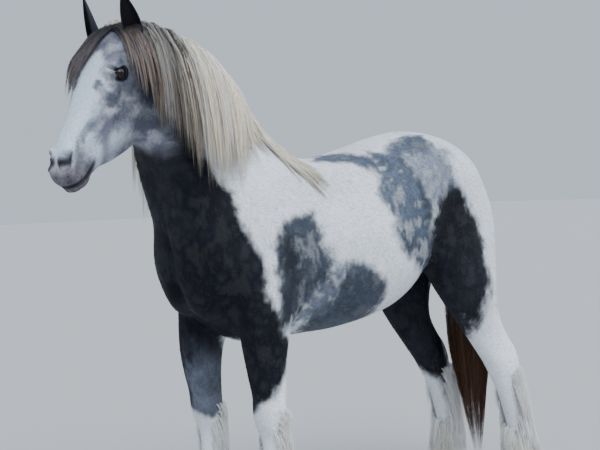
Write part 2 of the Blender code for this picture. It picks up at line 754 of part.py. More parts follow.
def lock(path, normals, width, depth):
    """A flat, tapered lock: four-sided rings along its path, and a tip."""
    along = unit(np.gradient(path, axis=0))
    aside = unit(np.cross(along, normals))
    out = np.cross(aside, along)
    last = len(path) - 1
    rings = []
    for i in range(last):
        share = i / last
        taper = (0.72 + 0.9 * share) if share < 0.3 else (1 - ((share - 0.3) / 0.72) ** 2.2)
        w, h = aside[i] * width / 2 * taper, out[i] * depth / 2 * max(taper, 0.45)
        rings.append(np.array((path[i] + w, path[i] + h, path[i] - w, path[i] - h)))
    points = np.concatenate((*rings, path[last:]))
    faces = [(0, 1, 2, 3)]
    for i in range(last - 1):
        for j in range(4):
            a, b = i * 4 + j, i * 4 + (j + 1) % 4
            faces.append((a, b, b + 4, a + 4))
    tip = last * 4
    faces += [(tip - 4 + j, tip - 4 + (j + 1) % 4, tip) for j in range(4)]
    obj = mesh_object("lock", points, faces)
    bm = bmesh.new()
    bm.from_mesh(obj.data)
    bmesh.ops.triangulate(bm, faces=bm.faces)
    bmesh.ops.recalc_face_normals(bm, faces=bm.faces)
    bm.to_mesh(obj.data)
    bm.free()
    return obj


def locks(roots, starts, lengths, widths, lift, steps=5, fall=0.5, depth=LOCK_DEPTH):
    paths, normals = drape(roots, starts, lengths, lift, steps, fall)
    return [lock(*args, depth) for args in zip(paths, normals, widths)]


def lifts(base, clear, count, steps):
    """Low at the root, and clear of the neighbours from the second point on."""
    rise = np.clip(np.linspace(0, 1, steps + 1) * 2.2, 0, 1)
    return base[:, None] + clear * rise[None, :] * np.ones((count, 1))


def mane(side, rng):
    pieces = []
    t = NECK_FORM.table
    size = np.array(MANE_LENGTH)
    for aside, lift in MANE_ROWS:
        u = np.linspace(*MANE_REACH, MANE_COUNT)
        u = u + rng.uniform(-0.3, 0.3, MANE_COUNT) * (u[1] - u[0])
        u = np.clip(u, *MANE_REACH)
        v = np.interp(u, t[:, 0], t[:, 1])
        local = np.stack((u, v, np.full(MANE_COUNT, side * aside)), 1)
        roots = settle(local @ NECK_AXES + np.array(NECK_BASE), skin_field, 4)
        back = np.clip(1 - (u - 0.1) / 0.25, 0, 1)
        starts = np.stack((-0.15 - 1.0 * back, side * np.ones(MANE_COUNT), 0.25 - 0.2 * back), 1)
        starts += rng.uniform(-0.15, 0.15, starts.shape)
        lengths = np.interp(u, size[:, 0], size[:, 1]) * rng.uniform(0.82, 1.08, MANE_COUNT)
        widths = MANE_WIDTH * rng.uniform(0.8, 1.15, MANE_COUNT)
        lift = lifts(np.full(MANE_COUNT, lift), 0.012, MANE_COUNT, 4)
        pieces += locks(roots, starts, lengths, widths, lift, steps=4, fall=0.50)
    return pieces


def forelock(rng):
    """Locks that part over the forehead: to the left behind the eye, to the right over the face."""
    w = np.linspace(-0.026, 0.022, FORELOCK_COUNT)
    local = np.stack((rng.uniform(0.030, 0.045, FORELOCK_COUNT), np.zeros(FORELOCK_COUNT), w), 1)
    roots = settle(from_head(local), skin_field, 4)
    left = (w > 0)[:, None]
    starts = np.where(left, (1.05, 0.20, 0.90), (1.0, 0.15, -0.45)) + w[:, None] * (0, 0, 8)
    lengths = np.where(w > 0, *FORELOCK_LENGTHS) * rng.uniform(0.85, 1.1, FORELOCK_COUNT)
    widths = FORELOCK_WIDTH * rng.uniform(0.85, 1.15, FORELOCK_COUNT)
    lift = lifts(np.full(FORELOCK_COUNT, 0.000), 0.006, FORELOCK_COUNT, 4)
    return locks(roots, starts @ HEAD_AXES, lengths, widths, lift, 4, 0.38, LOCK_DEPTH * 0.8)


def feather(name, rng):
    pieces = []
    tiers = FORE_FEATHER if name.startswith("fore") else HIND_FEATHER
    for height, length, arc, count in tiers:
        angle = np.radians(180 + np.linspace(-arc, arc, count))
        around = np.stack((np.cos(angle), np.sin(angle), np.zeros(count)), 1)
        z = height + 0.03 * np.cos(angle) * -1 + rng.uniform(-0.012, 0.012, count)
        roots = np.stack([leg_middle(name, h) for h in z]) + around * 0.03
        roots = settle(roots, skin_field, 5)
        starts = around * 0.9 + np.array((-0.1, 0.0, -1.0)) + rng.uniform(-0.15, 0.15, (count, 3))
        lengths = np.minimum(length * rng.uniform(0.9, 1.1, count), (z - FLOOR_GAP) * 1.15)
        widths = FEATHER_WIDTH * rng.uniform(0.85, 1.15, count)
        lift = lifts(np.full(count, 0.0), 0.014, count, 4)
        pieces += locks(roots, starts, lengths, widths, lift, 4, 0.45, LOCK_DEPTH * 1.2)
    return pieces


def tail_core():
    rings = []
    angle = np.linspace(0, 2 * math.pi, 8, endpoint=False)
    line = spread([(i, *row, 0) for i, row in enumerate(TAIL_LINE)], 10)
    path = np.stack((line[:, 1], np.zeros(10), line[:, 2]), 1)
    along = unit(np.gradient(path, axis=0))
    for at, way, wide, deep in zip(path, along, line[:, 3], line[:, 4]):
        across = np.cross(way, (0, 1, 0))
        rings.append(
            at + np.cos(angle)[:, None] * across * deep + np.sin(angle)[:, None] * (0, wide, 0)
        )
    return closed_tube("tail", rings)


def tail_locks(rng):
    """Locks that lie along the tail behind and beside it, and end past each other."""
    t = spread([(i, *row, 0) for i, row in enumerate(TAIL_LINE)], 60)
    pieces = []
    for start, end, count in TAIL_TIERS:
        for angle in np.radians(180 + np.linspace(-95, 95, count) + rng.uniform(-8, 8, count)):
            share = np.linspace(start, end * rng.uniform(0.93, 1.0), 5)
            x, z, wide, deep = (np.interp(share * 59, np.arange(60), t[:, k]) for k in (1, 2, 3, 4))
            out = np.array((0.70, 1.08, 1.14, 1.10, 0.90))
            c, s = math.cos(angle), math.sin(angle)
            path = np.stack((x + c * deep * out, s * wide * out, z), 1)
            normals = np.tile((c, s, 0.0), (5, 1))
            pieces.append(lock(path, normals, TAIL_WIDTH * rng.uniform(0.8, 1.1), LOCK_DEPTH))
    return pieces


# The cuts between nodes: points in or across them, and half their reach
HEAD_CUT = ((0.915, 0.0, 1.890), (0.985, 0.0, 1.500))  # from behind the poll to the throat
HEAD_CUT_TURN = 8.0  # the cut turns a little with the head, in degrees
NECK_CUT = ((0.580, 0.0, 1.255), (0.751, 0.0, 0.659))
FORE_CUTS = {"upper": 0.690, "lower": 0.462}
HIND_CUTS = {"upper": 0.760, "lower": 0.520}
LEG_REACH = (0.22, 0.15)


def head_cut():
    """The cut behind the poll and the jaw: a middle point and the direction across it."""
    top, low = (np.array(point) for point in HEAD_CUT)
    line = unit(top - low)
    turn = math.radians(HEAD_CUT_TURN)
    aside = np.array((-math.sin(turn), math.cos(turn), 0.0))
    return (top + low) / 2, unit(np.cross(aside, line))


def slab(point, across, reach):
    """A thin box that parts what it passes through."""
    across = unit(across)
    aside = unit(np.cross((0.013, 1.0, 0.007), across))
    rows = (aside, np.cross(across, aside), across)
    return box_object("cut", (2 * reach[0], 2 * reach[1], JOIN_GAP), matrix_of(rows, point))


def leg_middle(name, height):
    """The middle of a leg at a height."""
    side, _, lean = LEGS[name]
    t = LEG_FORMS[name].table
    front, back, centre = (float(np.interp(height, t[:, 0], t[:, k])) for k in (1, 2, 3))
    return np.array(((front + back) / 2, side * centre, height)) + stance(np.array(height), lean)


def hoof_frame(name):
    """The middle of the sole and of the coronet of a leg."""
    sole, coronet = FORE_HOOF if name.startswith("fore") else HIND_HOOF
    side, _, lean = LEGS[name]
    y = side * 0.168 + lean[1]
    return np.array((sole + lean[0], y, 0.0)), np.array((coronet + lean[0], y, HOOF_HEIGHT))


def coronet_normal():
    t = math.radians(HOOF_SLOPE)
    return np.array((-math.sin(t), 0.0, math.cos(t)))


def hoof(name):
    sole, coronet = hoof_frame(name)
    angle = np.linspace(0, 2 * math.pi, HOOF_SIDES, endpoint=False)
    c, s = np.cos(angle), np.sin(angle)
    heel = np.where(c < 0, 0.86, 1.0)
    slope = math.tan(math.radians(HOOF_SLOPE))
    rings = []
    for share in (0.0, 0.05, 0.5, 1.0):
        grow = 0.985 if share == 0 else 1.0
        middle = sole + (coronet - sole) * share
        long = SOLE_RADII[0] + (CORONET_RADII[0] - SOLE_RADII[0]) * share
        wide = SOLE_RADII[1] + (CORONET_RADII[1] - SOLE_RADII[1]) * share
        x = middle[0] + c * long * heel * grow
        y = middle[1] + s * wide * grow
        z = share * (HOOF_HEIGHT - JOIN_GAP / 2 + (x - coronet[0]) * slope)
        rings.append(np.stack((x, y, z), 1))
    return finished(closed_tube("hoof", rings), f"{name}_hoof", "hoof", 0.45)


def parted_body():
    """Cuts the skin into torso, neck and legs, and gives the pieces by name."""
    skin = thinned(body_skin(), 3600)
    point, across = head_cut()
    slabs = [slab(point, across, (0.30, 0.30))]
    slabs.append(slab(*NECK_CUT, (0.42, 0.42)))
    anchors = {"torso": (0.0, 0.0, 1.1), "neck": (0.72, 0.0, 1.5), "head": from_head((0.3, -0.12, 0))}
    for name in LEGS:
        cuts = FORE_CUTS if name.startswith("fore") else HIND_CUTS
        for part, height in cuts.items():
            slabs.append(slab(leg_middle(name, height), (0, 0, 1), LEG_REACH))
        _, coronet = hoof_frame(name)
        slabs.append(slab(coronet, coronet_normal(), (0.12, 0.12)))
        heights = sorted(cuts.values())
        anchors[f"{name}_upper"] = leg_middle(name, sum(heights) / 2)
        anchors[f"{name}_lower"] = leg_middle(name, heights[0] / 2)
        anchors[f"{name}_tip"] = leg_middle(name, 0.045)
    combined(skin, slabs, "DIFFERENCE")
    found = {}
    for points, faces in loose_parts(skin):
        middle = points.mean(0)
        name = min(anchors, key=lambda key: np.linalg.norm(middle - anchors[key]))
        if name not in found or len(points) > len(found[name][0]):
            found[name] = (points, faces)
    bpy.data.objects.remove(skin)
    for name in [key for key in found if key == "head" or key.endswith("_tip")]:
        del found[name]
    return {name: mesh_object(name, *part) for name, part in found.items()}


def ear_frame(side):
    """The ear's foot in the world, and rows: up the ear, the way it opens, across."""
    flip = np.array((1, 1, side))
    aim = unit(np.array(EAR_AIM) * flip)
    face = np.array(EAR_OPEN) * flip
    face = unit(face - aim * (face @ aim))
    rows = np.array((aim, face, np.cross(aim, face)))
    return from_head(np.array(EAR_ROOT) * flip), rows @ HEAD_AXES


def ear(side, count=8):
    """A cup: an arc that wraps less towards the tip, with a wall of even thickness."""
    foot, (aim, face, across) = ear_frame(side)
    foot = foot - aim * EAR_SINK
    shape = np.array(EAR_SHAPE)
    rings = []
    for share in np.linspace(0, 1, count):
        wide = np.interp(share, shape[:, 0], shape[:, 1])
        wrap = math.radians(np.interp(share, shape[:, 0], shape[:, 2]))
        wall = min(EAR_WALL, wide * 0.6)
        angle = np.linspace(-wrap, wrap, 9)
        curve = foot + aim * EAR_LENGTH * share + face * 0.012 * math.sin(math.pi * share)
        outer = -np.cos(angle)[:, None] * face * wide * 0.8 + np.sin(angle)[:, None] * across * wide
        shrink = 1 - wall / wide
        rings.append(np.concatenate((curve + outer, curve + outer[::-1] * shrink)))
    obj = closed_tube("ear", rings)
    return obj


def eyeball(side, grow=0.0):
    bm = bmesh.new()
    bmesh.ops.create_icosphere(bm, subdivisions=2, radius=EYE_RADIUS * HEAD_SCALE + grow)
    obj = bpy.data.objects.new("eye", bpy.data.meshes.new("eye"))
    bpy.context.scene.collection.objects.link(obj)
    centre = from_head(np.array(EYE_CENTRE) * (1, 1, side))
    bmesh.ops.translate(bm, verts=bm.verts, vec=centre)
    bm.to_mesh(obj.data)
    bm.free()
    return obj


def make_head(rng):
    """Head with forelock, ears and eyes."""
    head = thinned(head_skin(), 4100)
    point, across = head_cut()
    combined(head, [slab(point, across, (0.30, 0.30))], "DIFFERENCE")
    head = nearest_part(head, from_head((0.3, -0.12, 0)))
    head = keep_largest(combined(head, forelock(rng), "UNION"))
    combined(head, [eyeball(1, JOIN_GAP * 1.5), eyeball(-1, JOIN_GAP * 1.5)], "DIFFERENCE")
    head = keep_largest(head)
    for side, word in ((1, "left"), (-1, "right")):
        finished(eyeball(side), f"eye_{word}", "eye", 0.1)
        finished(clear_of(ear(side), head), f"ear_{word}", "ear")
    return finished(head, "head", "coat")


def main():
    for obj in list(bpy.data.objects):
        bpy.data.objects.remove(obj)
    rng = np.random.default_rng(7)
    head = make_head(rng)
    nodes = parted_body()
    torso = finished(nodes.pop("torso"), "torso", "coat")
    tail = keep_largest(combined(tail_core(), tail_locks(rng), "UNION"))
    finished(clear_of(tail, torso, TAIL_GAP), "tail", "tail")
    neck = combined(nodes.pop("neck"), mane(1, rng) + mane(-1, rng), "UNION")
    neck = clear_of(clear_of(keep_largest(neck), torso), head)
    finished(neck, "neck", "mane")
    for name in LEGS:
        foot = hoof(name)
        lower = combined(nodes.pop(f"{name}_lower"), feather(name, rng), "UNION")
        finished(clear_of(keep_largest(lower), foot), f"{name}_lower", "feather")
        finished(nodes.pop(f"{name}_upper"), f"{name}_upper", "coat")
    for obj in bpy.data.objects:
        obj.location = MIDDLE


main()
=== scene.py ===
"""Looks of the cob horse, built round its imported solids: skin, coat, hair, eyes and hooves.

The same soft forms as in the solids give one finer skin. The horse's own coordinates are used
throughout, and made() moves each mesh by MIDDLE into the frame.
"""

import math

import bmesh
import bpy
import numpy as np
from mathutils import Matrix


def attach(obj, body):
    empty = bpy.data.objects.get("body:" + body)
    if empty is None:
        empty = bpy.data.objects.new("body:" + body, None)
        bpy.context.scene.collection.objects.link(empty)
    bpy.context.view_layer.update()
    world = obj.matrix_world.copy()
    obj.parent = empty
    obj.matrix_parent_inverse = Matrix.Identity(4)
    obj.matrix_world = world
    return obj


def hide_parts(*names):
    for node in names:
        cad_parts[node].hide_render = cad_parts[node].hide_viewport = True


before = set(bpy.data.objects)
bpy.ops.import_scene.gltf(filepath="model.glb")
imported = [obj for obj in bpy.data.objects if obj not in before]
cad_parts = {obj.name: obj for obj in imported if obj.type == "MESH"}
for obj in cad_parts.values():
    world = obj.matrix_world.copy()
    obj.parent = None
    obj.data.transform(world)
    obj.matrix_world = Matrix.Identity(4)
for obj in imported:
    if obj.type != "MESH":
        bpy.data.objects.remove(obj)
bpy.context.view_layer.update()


# Driving dimensions, in metres
HEAD_PIVOT = np.array((1.000, 0.0, 1.885))  # top of the poll
HEAD_PITCH = 52.0  # the face line, in degrees below level
HEAD_YAW = 21.0  # the head turns this far to the horse's left
HEAD_SCALE = 1.03
HEAD_MIDDLE, HEAD_REACH = (0.35, -0.1, 0), 0.50  # a ball round the head, for its details
NECK_BASE = (0.50, 0.0, 1.16)
NECK_PITCH = -53.5  # the neck's axis rises
BODY_VOXEL = 0.0095  # grain of the rough skin
MIDDLE = (-0.239, 0.0, 0.0)  # moves the model so that the origin is under its middle

# Stations of a form: distance along its axis, top, bottom, side centre, half width, egg.
# A positive egg makes a section wider at its bottom, and a negative one wider at its top.
TRUNK = (
    (-0.725, 1.170, 1.070, 0.0, 0.050, 0.00),
    (-0.690, 1.250, 1.000, 0.0, 0.110, 0.00),
    (-0.630, 1.342, 0.950, 0.0, 0.170, 0.00),
    (-0.540, 1.413, 0.945, 0.0, 0.215, -0.05),
    (-0.440, 1.463, 0.940, 0.0, 0.245, -0.05),
    (-0.330, 1.481, 0.912, 0.0, 0.262, 0.00),
    (-0.200, 1.460, 0.845, 0.0, 0.285, 0.05),
    (-0.050, 1.420, 0.772, 0.0, 0.298, 0.10),
    (0.100, 1.386, 0.720, 0.0, 0.298, 0.12),
    (0.250, 1.374, 0.709, 0.0, 0.280, 0.12),
    (0.380, 1.388, 0.705, 0.0, 0.252, 0.10),
    (0.520, 1.380, 0.704, 0.0, 0.230, 0.05),
    (0.640, 1.320, 0.772, 0.0, 0.210, 0.00),
    (0.740, 1.230, 0.860, 0.0, 0.165, 0.00),
    (0.795, 1.120, 0.950, 0.0, 0.085, 0.00),
)
NECK = (
    (0.00, 0.280, -0.320, 0.0, 0.190, 0.20),
    (0.10, 0.278, -0.300, 0.0, 0.178, 0.25),
    (0.20, 0.276, -0.255, 0.0, 0.155, 0.25),
    (0.32, 0.274, -0.200, 0.0, 0.125, 0.25),
    (0.44, 0.260, -0.168, 0.0, 0.104, 0.20),
    (0.56, 0.236, -0.152, 0.0, 0.093, 0.10),
    (0.68, 0.196, -0.128, 0.0, 0.084, 0.00),
    (0.79, 0.122, -0.060, 0.0, 0.066, 0.00),
)
HEAD = (
    (-0.045, -0.060, -0.170, 0.0, 0.060, 0.00),
    (0.000, -0.022, -0.215, 0.0, 0.076, -0.10),
    (0.060, -0.005, -0.250, 0.0, 0.089, -0.20),
    (0.130, 0.000, -0.286, 0.0, 0.098, -0.28),
    (0.200, 0.000, -0.312, 0.0, 0.098, -0.32),
    (0.270, -0.003, -0.320, 0.0, 0.086, -0.32),
    (0.340, -0.008, -0.300, 0.0, 0.070, -0.28),
    (0.410, -0.012, -0.258, 0.0, 0.057, -0.18),
    (0.480, -0.013, -0.208, 0.0, 0.050, -0.08),
    (0.540, -0.018, -0.180, 0.0, 0.047, 0.00),
    (0.585, -0.034, -0.168, 0.0, 0.044, 0.00),
    (0.615, -0.060, -0.150, 0.0, 0.035, 0.00),
    (0.632, -0.085, -0.126, 0.0, 0.018, 0.00),
)
# Limb stations run up from the ground: height, front, back, side centre, half width, egg.
FORELEG = (
    (0.035, 0.600, 0.480, 0.168, 0.058, 0.0),
    (0.085, 0.576, 0.482, 0.168, 0.048, 0.0),
    (0.120, 0.554, 0.468, 0.168, 0.042, 0.0),
    (0.155, 0.546, 0.446, 0.168, 0.047, 0.0),
    (0.200, 0.536, 0.456, 0.168, 0.040, 0.0),
    (0.270, 0.532, 0.460, 0.168, 0.037, 0.0),
    (0.350, 0.538, 0.458, 0.168, 0.041, 0.0),
    (0.395, 0.556, 0.454, 0.168, 0.054, 0.0),
    (0.450, 0.566, 0.448, 0.168, 0.060, 0.0),
    (0.500, 0.570, 0.442, 0.168, 0.053, 0.0),
    (0.580, 0.586, 0.436, 0.168, 0.056, 0.0),
    (0.680, 0.606, 0.428, 0.171, 0.067, 0.0),
    (0.780, 0.622, 0.408, 0.174, 0.079, 0.0),
    (0.860, 0.638, 0.375, 0.168, 0.086, 0.0),
    (0.950, 0.650, 0.360, 0.148, 0.085, 0.0),
    (1.050, 0.655, 0.360, 0.120, 0.080, 0.0),
)
HINDLEG = (
    (0.035, -0.645, -0.755, 0.168, 0.057, 0.0),
    (0.085, -0.664, -0.756, 0.168, 0.048, 0.0),
    (0.120, -0.682, -0.770, 0.168, 0.043, 0.0),
    (0.160, -0.690, -0.792, 0.168, 0.048, 0.0),
    (0.210, -0.692, -0.782, 0.168, 0.041, 0.0),
    (0.300, -0.672, -0.772, 0.168, 0.039, 0.0),
    (0.400, -0.642, -0.766, 0.168, 0.044, 0.0),
    (0.460, -0.614, -0.756, 0.168, 0.051, 0.0),
    (0.520, -0.582, -0.752, 0.168, 0.056, 0.0),
    (0.565, -0.548, -0.742, 0.168, 0.052, 0.0),
    (0.620, -0.506, -0.704, 0.170, 0.053, 0.0),
    (0.690, -0.452, -0.660, 0.176, 0.064, 0.0),
    (0.780, -0.385, -0.638, 0.182, 0.082, 0.0),
    (0.880, -0.322, -0.643, 0.180, 0.098, 0.0),
    (0.980, -0.285, -0.663, 0.163, 0.108, 0.0),
    (1.100, -0.262, -0.680, 0.138, 0.110, 0.0),
    (1.220, -0.265, -0.650, 0.110, 0.095, 0.0),
    (1.310, -0.280, -0.580, 0.080, 0.070, 0.0),
)
LEAN_TOP = 0.95  # a leg's stance is spread from this height down to the ground
BEND_AT, BEND_REACH = 0.62, 0.20  # a leg's bend moves it most at this height
# Each leg: its side, its stations, how far its hoof stands forward and out of square,
# and how far its middle is bent forward
LEGS = {
    "fore_left": (1, FORELEG, (0.000, 0.005, 0.000)),
    "fore_right": (-1, FORELEG, (0.060, 0.000, 0.034)),
    "hind_left": (1, HINDLEG, (-0.055, 0.020, 0.000)),
    "hind_right": (-1, HINDLEG, (0.024, -0.020, 0.040)),
}

# Muscles and bones as ellipsoids: centre and radii along, up and to the side, then pitch
BODY_LUMPS = {
    "shoulder blade": ((0.545, 1.160, 0.115), (0.240, 0.125, 0.080), 55.0),
    "upper arm": ((0.500, 0.985, 0.150), (0.150, 0.115, 0.080), 20.0),
    "point of shoulder": ((0.700, 1.010, 0.110), (0.070, 0.085, 0.070), 0.0),
    "breast": ((0.705, 0.930, 0.065), (0.070, 0.110, 0.070), 0.0),
    "withers": ((0.390, 1.330, 0.000), (0.190, 0.080, 0.060), -4.0),
    "rump": ((-0.410, 1.285, 0.112), (0.225, 0.140, 0.130), -14.0),
    "hip": ((-0.235, 1.270, 0.175), (0.090, 0.070, 0.070), 0.0),
    "buttock": ((-0.590, 1.110, 0.105), (0.085, 0.160, 0.080), -8.0),
    "neck muscle": ((0.745, 1.250, 0.100), (0.230, 0.055, 0.050), -62.0),
    "barrel": ((0.040, 1.005, 0.140), (0.320, 0.235, 0.155), 0.0),
}
# Hollows, in the same terms
BODY_HOLLOWS = {
    "flank": ((-0.215, 1.090, 0.345), (0.070, 0.130, 0.060), 20.0),
    "between the buttocks": ((-0.790, 1.060, 0.000), (0.110, 0.200, 0.022), 0.0),
    "between the breasts": ((0.815, 0.950, 0.000), (0.060, 0.150, 0.020), 0.0),
    "stifle fold": ((-0.235, 1.120, 0.330), (0.034, 0.180, 0.080), 16.0),
}
HEAD_LUMPS = {
    "cheek": ((0.225, -0.206, 0.050), (0.105, 0.094, 0.037), 0.0),
    "brow": ((0.196, -0.017, 0.068), (0.048, 0.020, 0.026), 0.0),
    "temple": ((0.070, -0.060, 0.062), (0.060, 0.045, 0.022), 0.0),
    "ear foot": ((0.050, -0.064, 0.074), (0.030, 0.036, 0.027), 0.0),
    "cheek bone": ((0.335, -0.088, 0.056), (0.100, 0.012, 0.014), 4.0),
    "nostril wing": ((0.578, -0.038, 0.036), (0.044, 0.024, 0.020), 0.0),
    "upper lip": ((0.594, -0.088, 0.014), (0.036, 0.034, 0.031), 0.0),
    "lower lip": ((0.592, -0.148, 0.006), (0.036, 0.018, 0.027), 0.0),
    "chin": ((0.562, -0.168, 0.000), (0.032, 0.020, 0.027), 0.0),
}
HEAD_HOLLOWS = {
    "above the eye": ((0.138, -0.036, 0.122), (0.034, 0.018, 0.024), 0.0),
    "below the cheek bone": ((0.370, -0.165, 0.100), (0.080, 0.036, 0.040), 8.0),
    "between the jaws": ((0.350, -0.352, 0.000), (0.170, 0.070, 0.028), -24.0),
    "beside the nose": ((0.450, -0.045, 0.085), (0.070, 0.018, 0.034), 0.0),
    "behind the chin": ((0.502, -0.228, 0.000), (0.026, 0.022, 0.050), -24.0),
}
EYE_CENTRE = (0.211, -0.047, 0.0860)
EYE_RADIUS = 0.0235
EYE_OUT = (0.22, 0.30, 1.0)  # where the eye looks, in the head's own directions
EYE_TILT = 14.0  # the inner corner lies lower, in degrees
LID_THICK = 0.0032
EYE_SUNK = 0.004  # the opening is cut this deep into the ball
LID_LENGTH = 0.0225  # half the opening
LID_UP = 0.0150
LID_DOWN = 0.0115
NOSTRIL = (0.571, -0.050, 0.056)
NOSTRIL_RADII = (0.024, 0.0115, 0.014)
NOSTRIL_TURN = 24.0
MOUTH_CORNER = 0.490
MOUTH_LINE = np.array(
    ((0.48, -0.146), (0.52, -0.152), (0.56, -0.149), (0.60, -0.135), (0.66, -0.105))
).T
MOUTH_WIDTH = 0.0018
MOUTH_DEPTH = 0.007

EAR_ROOT = (0.052, -0.062, 0.084)  # in the head's own directions, for the left ear
EAR_AIM = (-0.45, 0.89, 0.00)
EAR_OPEN = (0.75, 0.30, 0.55)  # the way the cup faces
EAR_LENGTH = 0.212
EAR_SINK = 0.022  # the foot starts this deep, and is cut at the skin
EAR_WALL = 0.0045
# The ear from its foot to its tip: share of the length, half width, half the wrap in degrees
EAR_SHAPE = (
    (0.00, 0.0240, 150.0),
    (0.12, 0.0300, 140.0),
    (0.28, 0.0345, 118.0),
    (0.45, 0.0340, 100.0),
    (0.62, 0.0290, 90.0),
    (0.78, 0.0200, 84.0),
    (0.90, 0.0110, 80.0),
    (1.00, 0.0030, 76.0),
)

HOOF_HEIGHT = 0.062
HOOF_SLOPE = 14.0  # the coronet falls to the heel, in degrees
SOLE_RADII = (0.078, 0.072)
CORONET_RADII = (0.060, 0.058)
LEG_SIDE = 0.168  # from the middle of the horse to the middle of a hoof
FORE_HOOF = (0.548, 0.534)  # middle of the sole and of the coronet
HIND_HOOF = (-0.698, -0.714)

# A hoof from its sole up: share of the height, and share of the full breadth there
HOOF_RINGS = (
    (0, 0.9), (0, 0.985), (0.05, 1), (0.2, 1), (0.4, 1), (0.6, 1), (0.8, 1), (0.97, 1),
)

# The tail's middle line from the dock to the tips: x, z, half width, half depth
TAIL_LINE = (
    (-0.640, 1.318, 0.018, 0.018),
    (-0.695, 1.300, 0.030, 0.026),
    (-0.732, 1.230, 0.038, 0.032),
    (-0.742, 1.100, 0.052, 0.040),
    (-0.726, 0.900, 0.082, 0.048),
    (-0.716, 0.680, 0.096, 0.052),
    (-0.728, 0.500, 0.072, 0.044),
    (-0.737, 0.380, 0.048, 0.034),
    (-0.750, 0.220, 0.026, 0.020),
    (-0.758, 0.090, 0.008, 0.008),
)
ROOT_SINK = 0.004  # a hair starts this deep
FLOOR_GAP = 0.008  # and stays this far above the floor
STRAND_WAVE = 0.004  # how far a strand sways from its line
UV_PATCH = 0.003  # size of a hair's patch, at its root's place on the unwrapped skin
# How softly the forms run into each other
MUSCLE_BLEND, LEG_BLEND, NECK_BLEND, DENT_BLEND, HEAD_BLEND = 0.06, 0.05, 0.09, 0.04, 0.045
BONE_BLEND, HOLLOW_BLEND, LID_BLEND, END_BLEND = 0.020, 0.025, 0.014, 0.02
LID_EDGE, NOSTRIL_EDGE, MOUTH_EDGE = 0.002, 0.008, 0.004  # the cuts into the head
SLOPE_STEP, SETTLE_STEP = 0.002, 0.0006  # steps over which the field's slope is taken
SEED = 11


def turned(degrees):
    """A turn of the first two coordinates."""
    c, s = math.cos(math.radians(degrees)), math.sin(math.radians(degrees))
    return np.array(((c, -s, 0), (s, c, 0), (0, 0, 1)))


def axes_of(pitch, yaw=0.0):
    """Rows: along the axis, up from it, and to the left. A positive pitch points down."""
    p, turn = math.radians(pitch), turned(yaw)
    along = turn @ (math.cos(p), 0, -math.sin(p))
    up = turn @ (math.sin(p), 0, math.cos(p))
    return np.array((along, up, turn @ (0, 1, 0)))


LEVEL = axes_of(0.0)
UPRIGHT = np.array(((0, 0, 1), (1, 0, 0), (0, 1, 0)), float)
HEAD_AXES = axes_of(HEAD_PITCH, HEAD_YAW)
NECK_AXES = axes_of(NECK_PITCH)


def soft_min(a, b, k):
    h = np.maximum(k - np.abs(a - b), 0) / k
    return np.minimum(a, b) - h * h * k / 4


def soft_max(a, b, k):
    return -soft_min(-a, -b, k)


def unit(v):
    v = np.asarray(v, float)
    return v / np.maximum(np.linalg.norm(v, axis=-1, keepdims=True), 1e-9)


def curved(a, b, m, n, t):
    """A smooth curve from a to b that leaves with slope m and arrives with slope n."""
    return (
        a * (1 + 2 * t) * (1 - t) ** 2 + b * t * t * (3 - 2 * t)
        + m * t * (1 - t) ** 2 - n * t * t * (1 - t)
    )


def spread(stations, count=160):
    """The stations as a fine table, with a smooth curve through each column."""
    rows = np.array(stations, float)
    u = rows[:, 0]
    slope = np.gradient(rows, u, axis=0)
    fine = np.linspace(u[0], u[-1], count)
    i = np.clip(np.searchsorted(u, fine, side="right") - 1, 0, len(u) - 2)
    step = (u[i + 1] - u[i])[:, None]
    t = (fine - u[i])[:, None] / step
    return curved(rows[i], rows[i + 1], slope[i] * step, slope[i + 1] * step, t)


def mirrored(q):
    """The points moved to the left side, in coordinates along, up and to the left."""
    return np.stack((q[:, 0], q[:, 1], np.abs(q[:, 2])), 1)


def stance(height, lean):
    """How far a leg's stance moves its points at a height."""
    share = np.clip((LEAN_TOP - height) / LEAN_TOP, 0, 1)
    bent = np.exp(-(((height - BEND_AT) / BEND_REACH) ** 2))
    return np.stack((share * lean[0] + bent * lean[2], share * lean[1], 0 * height), -1)


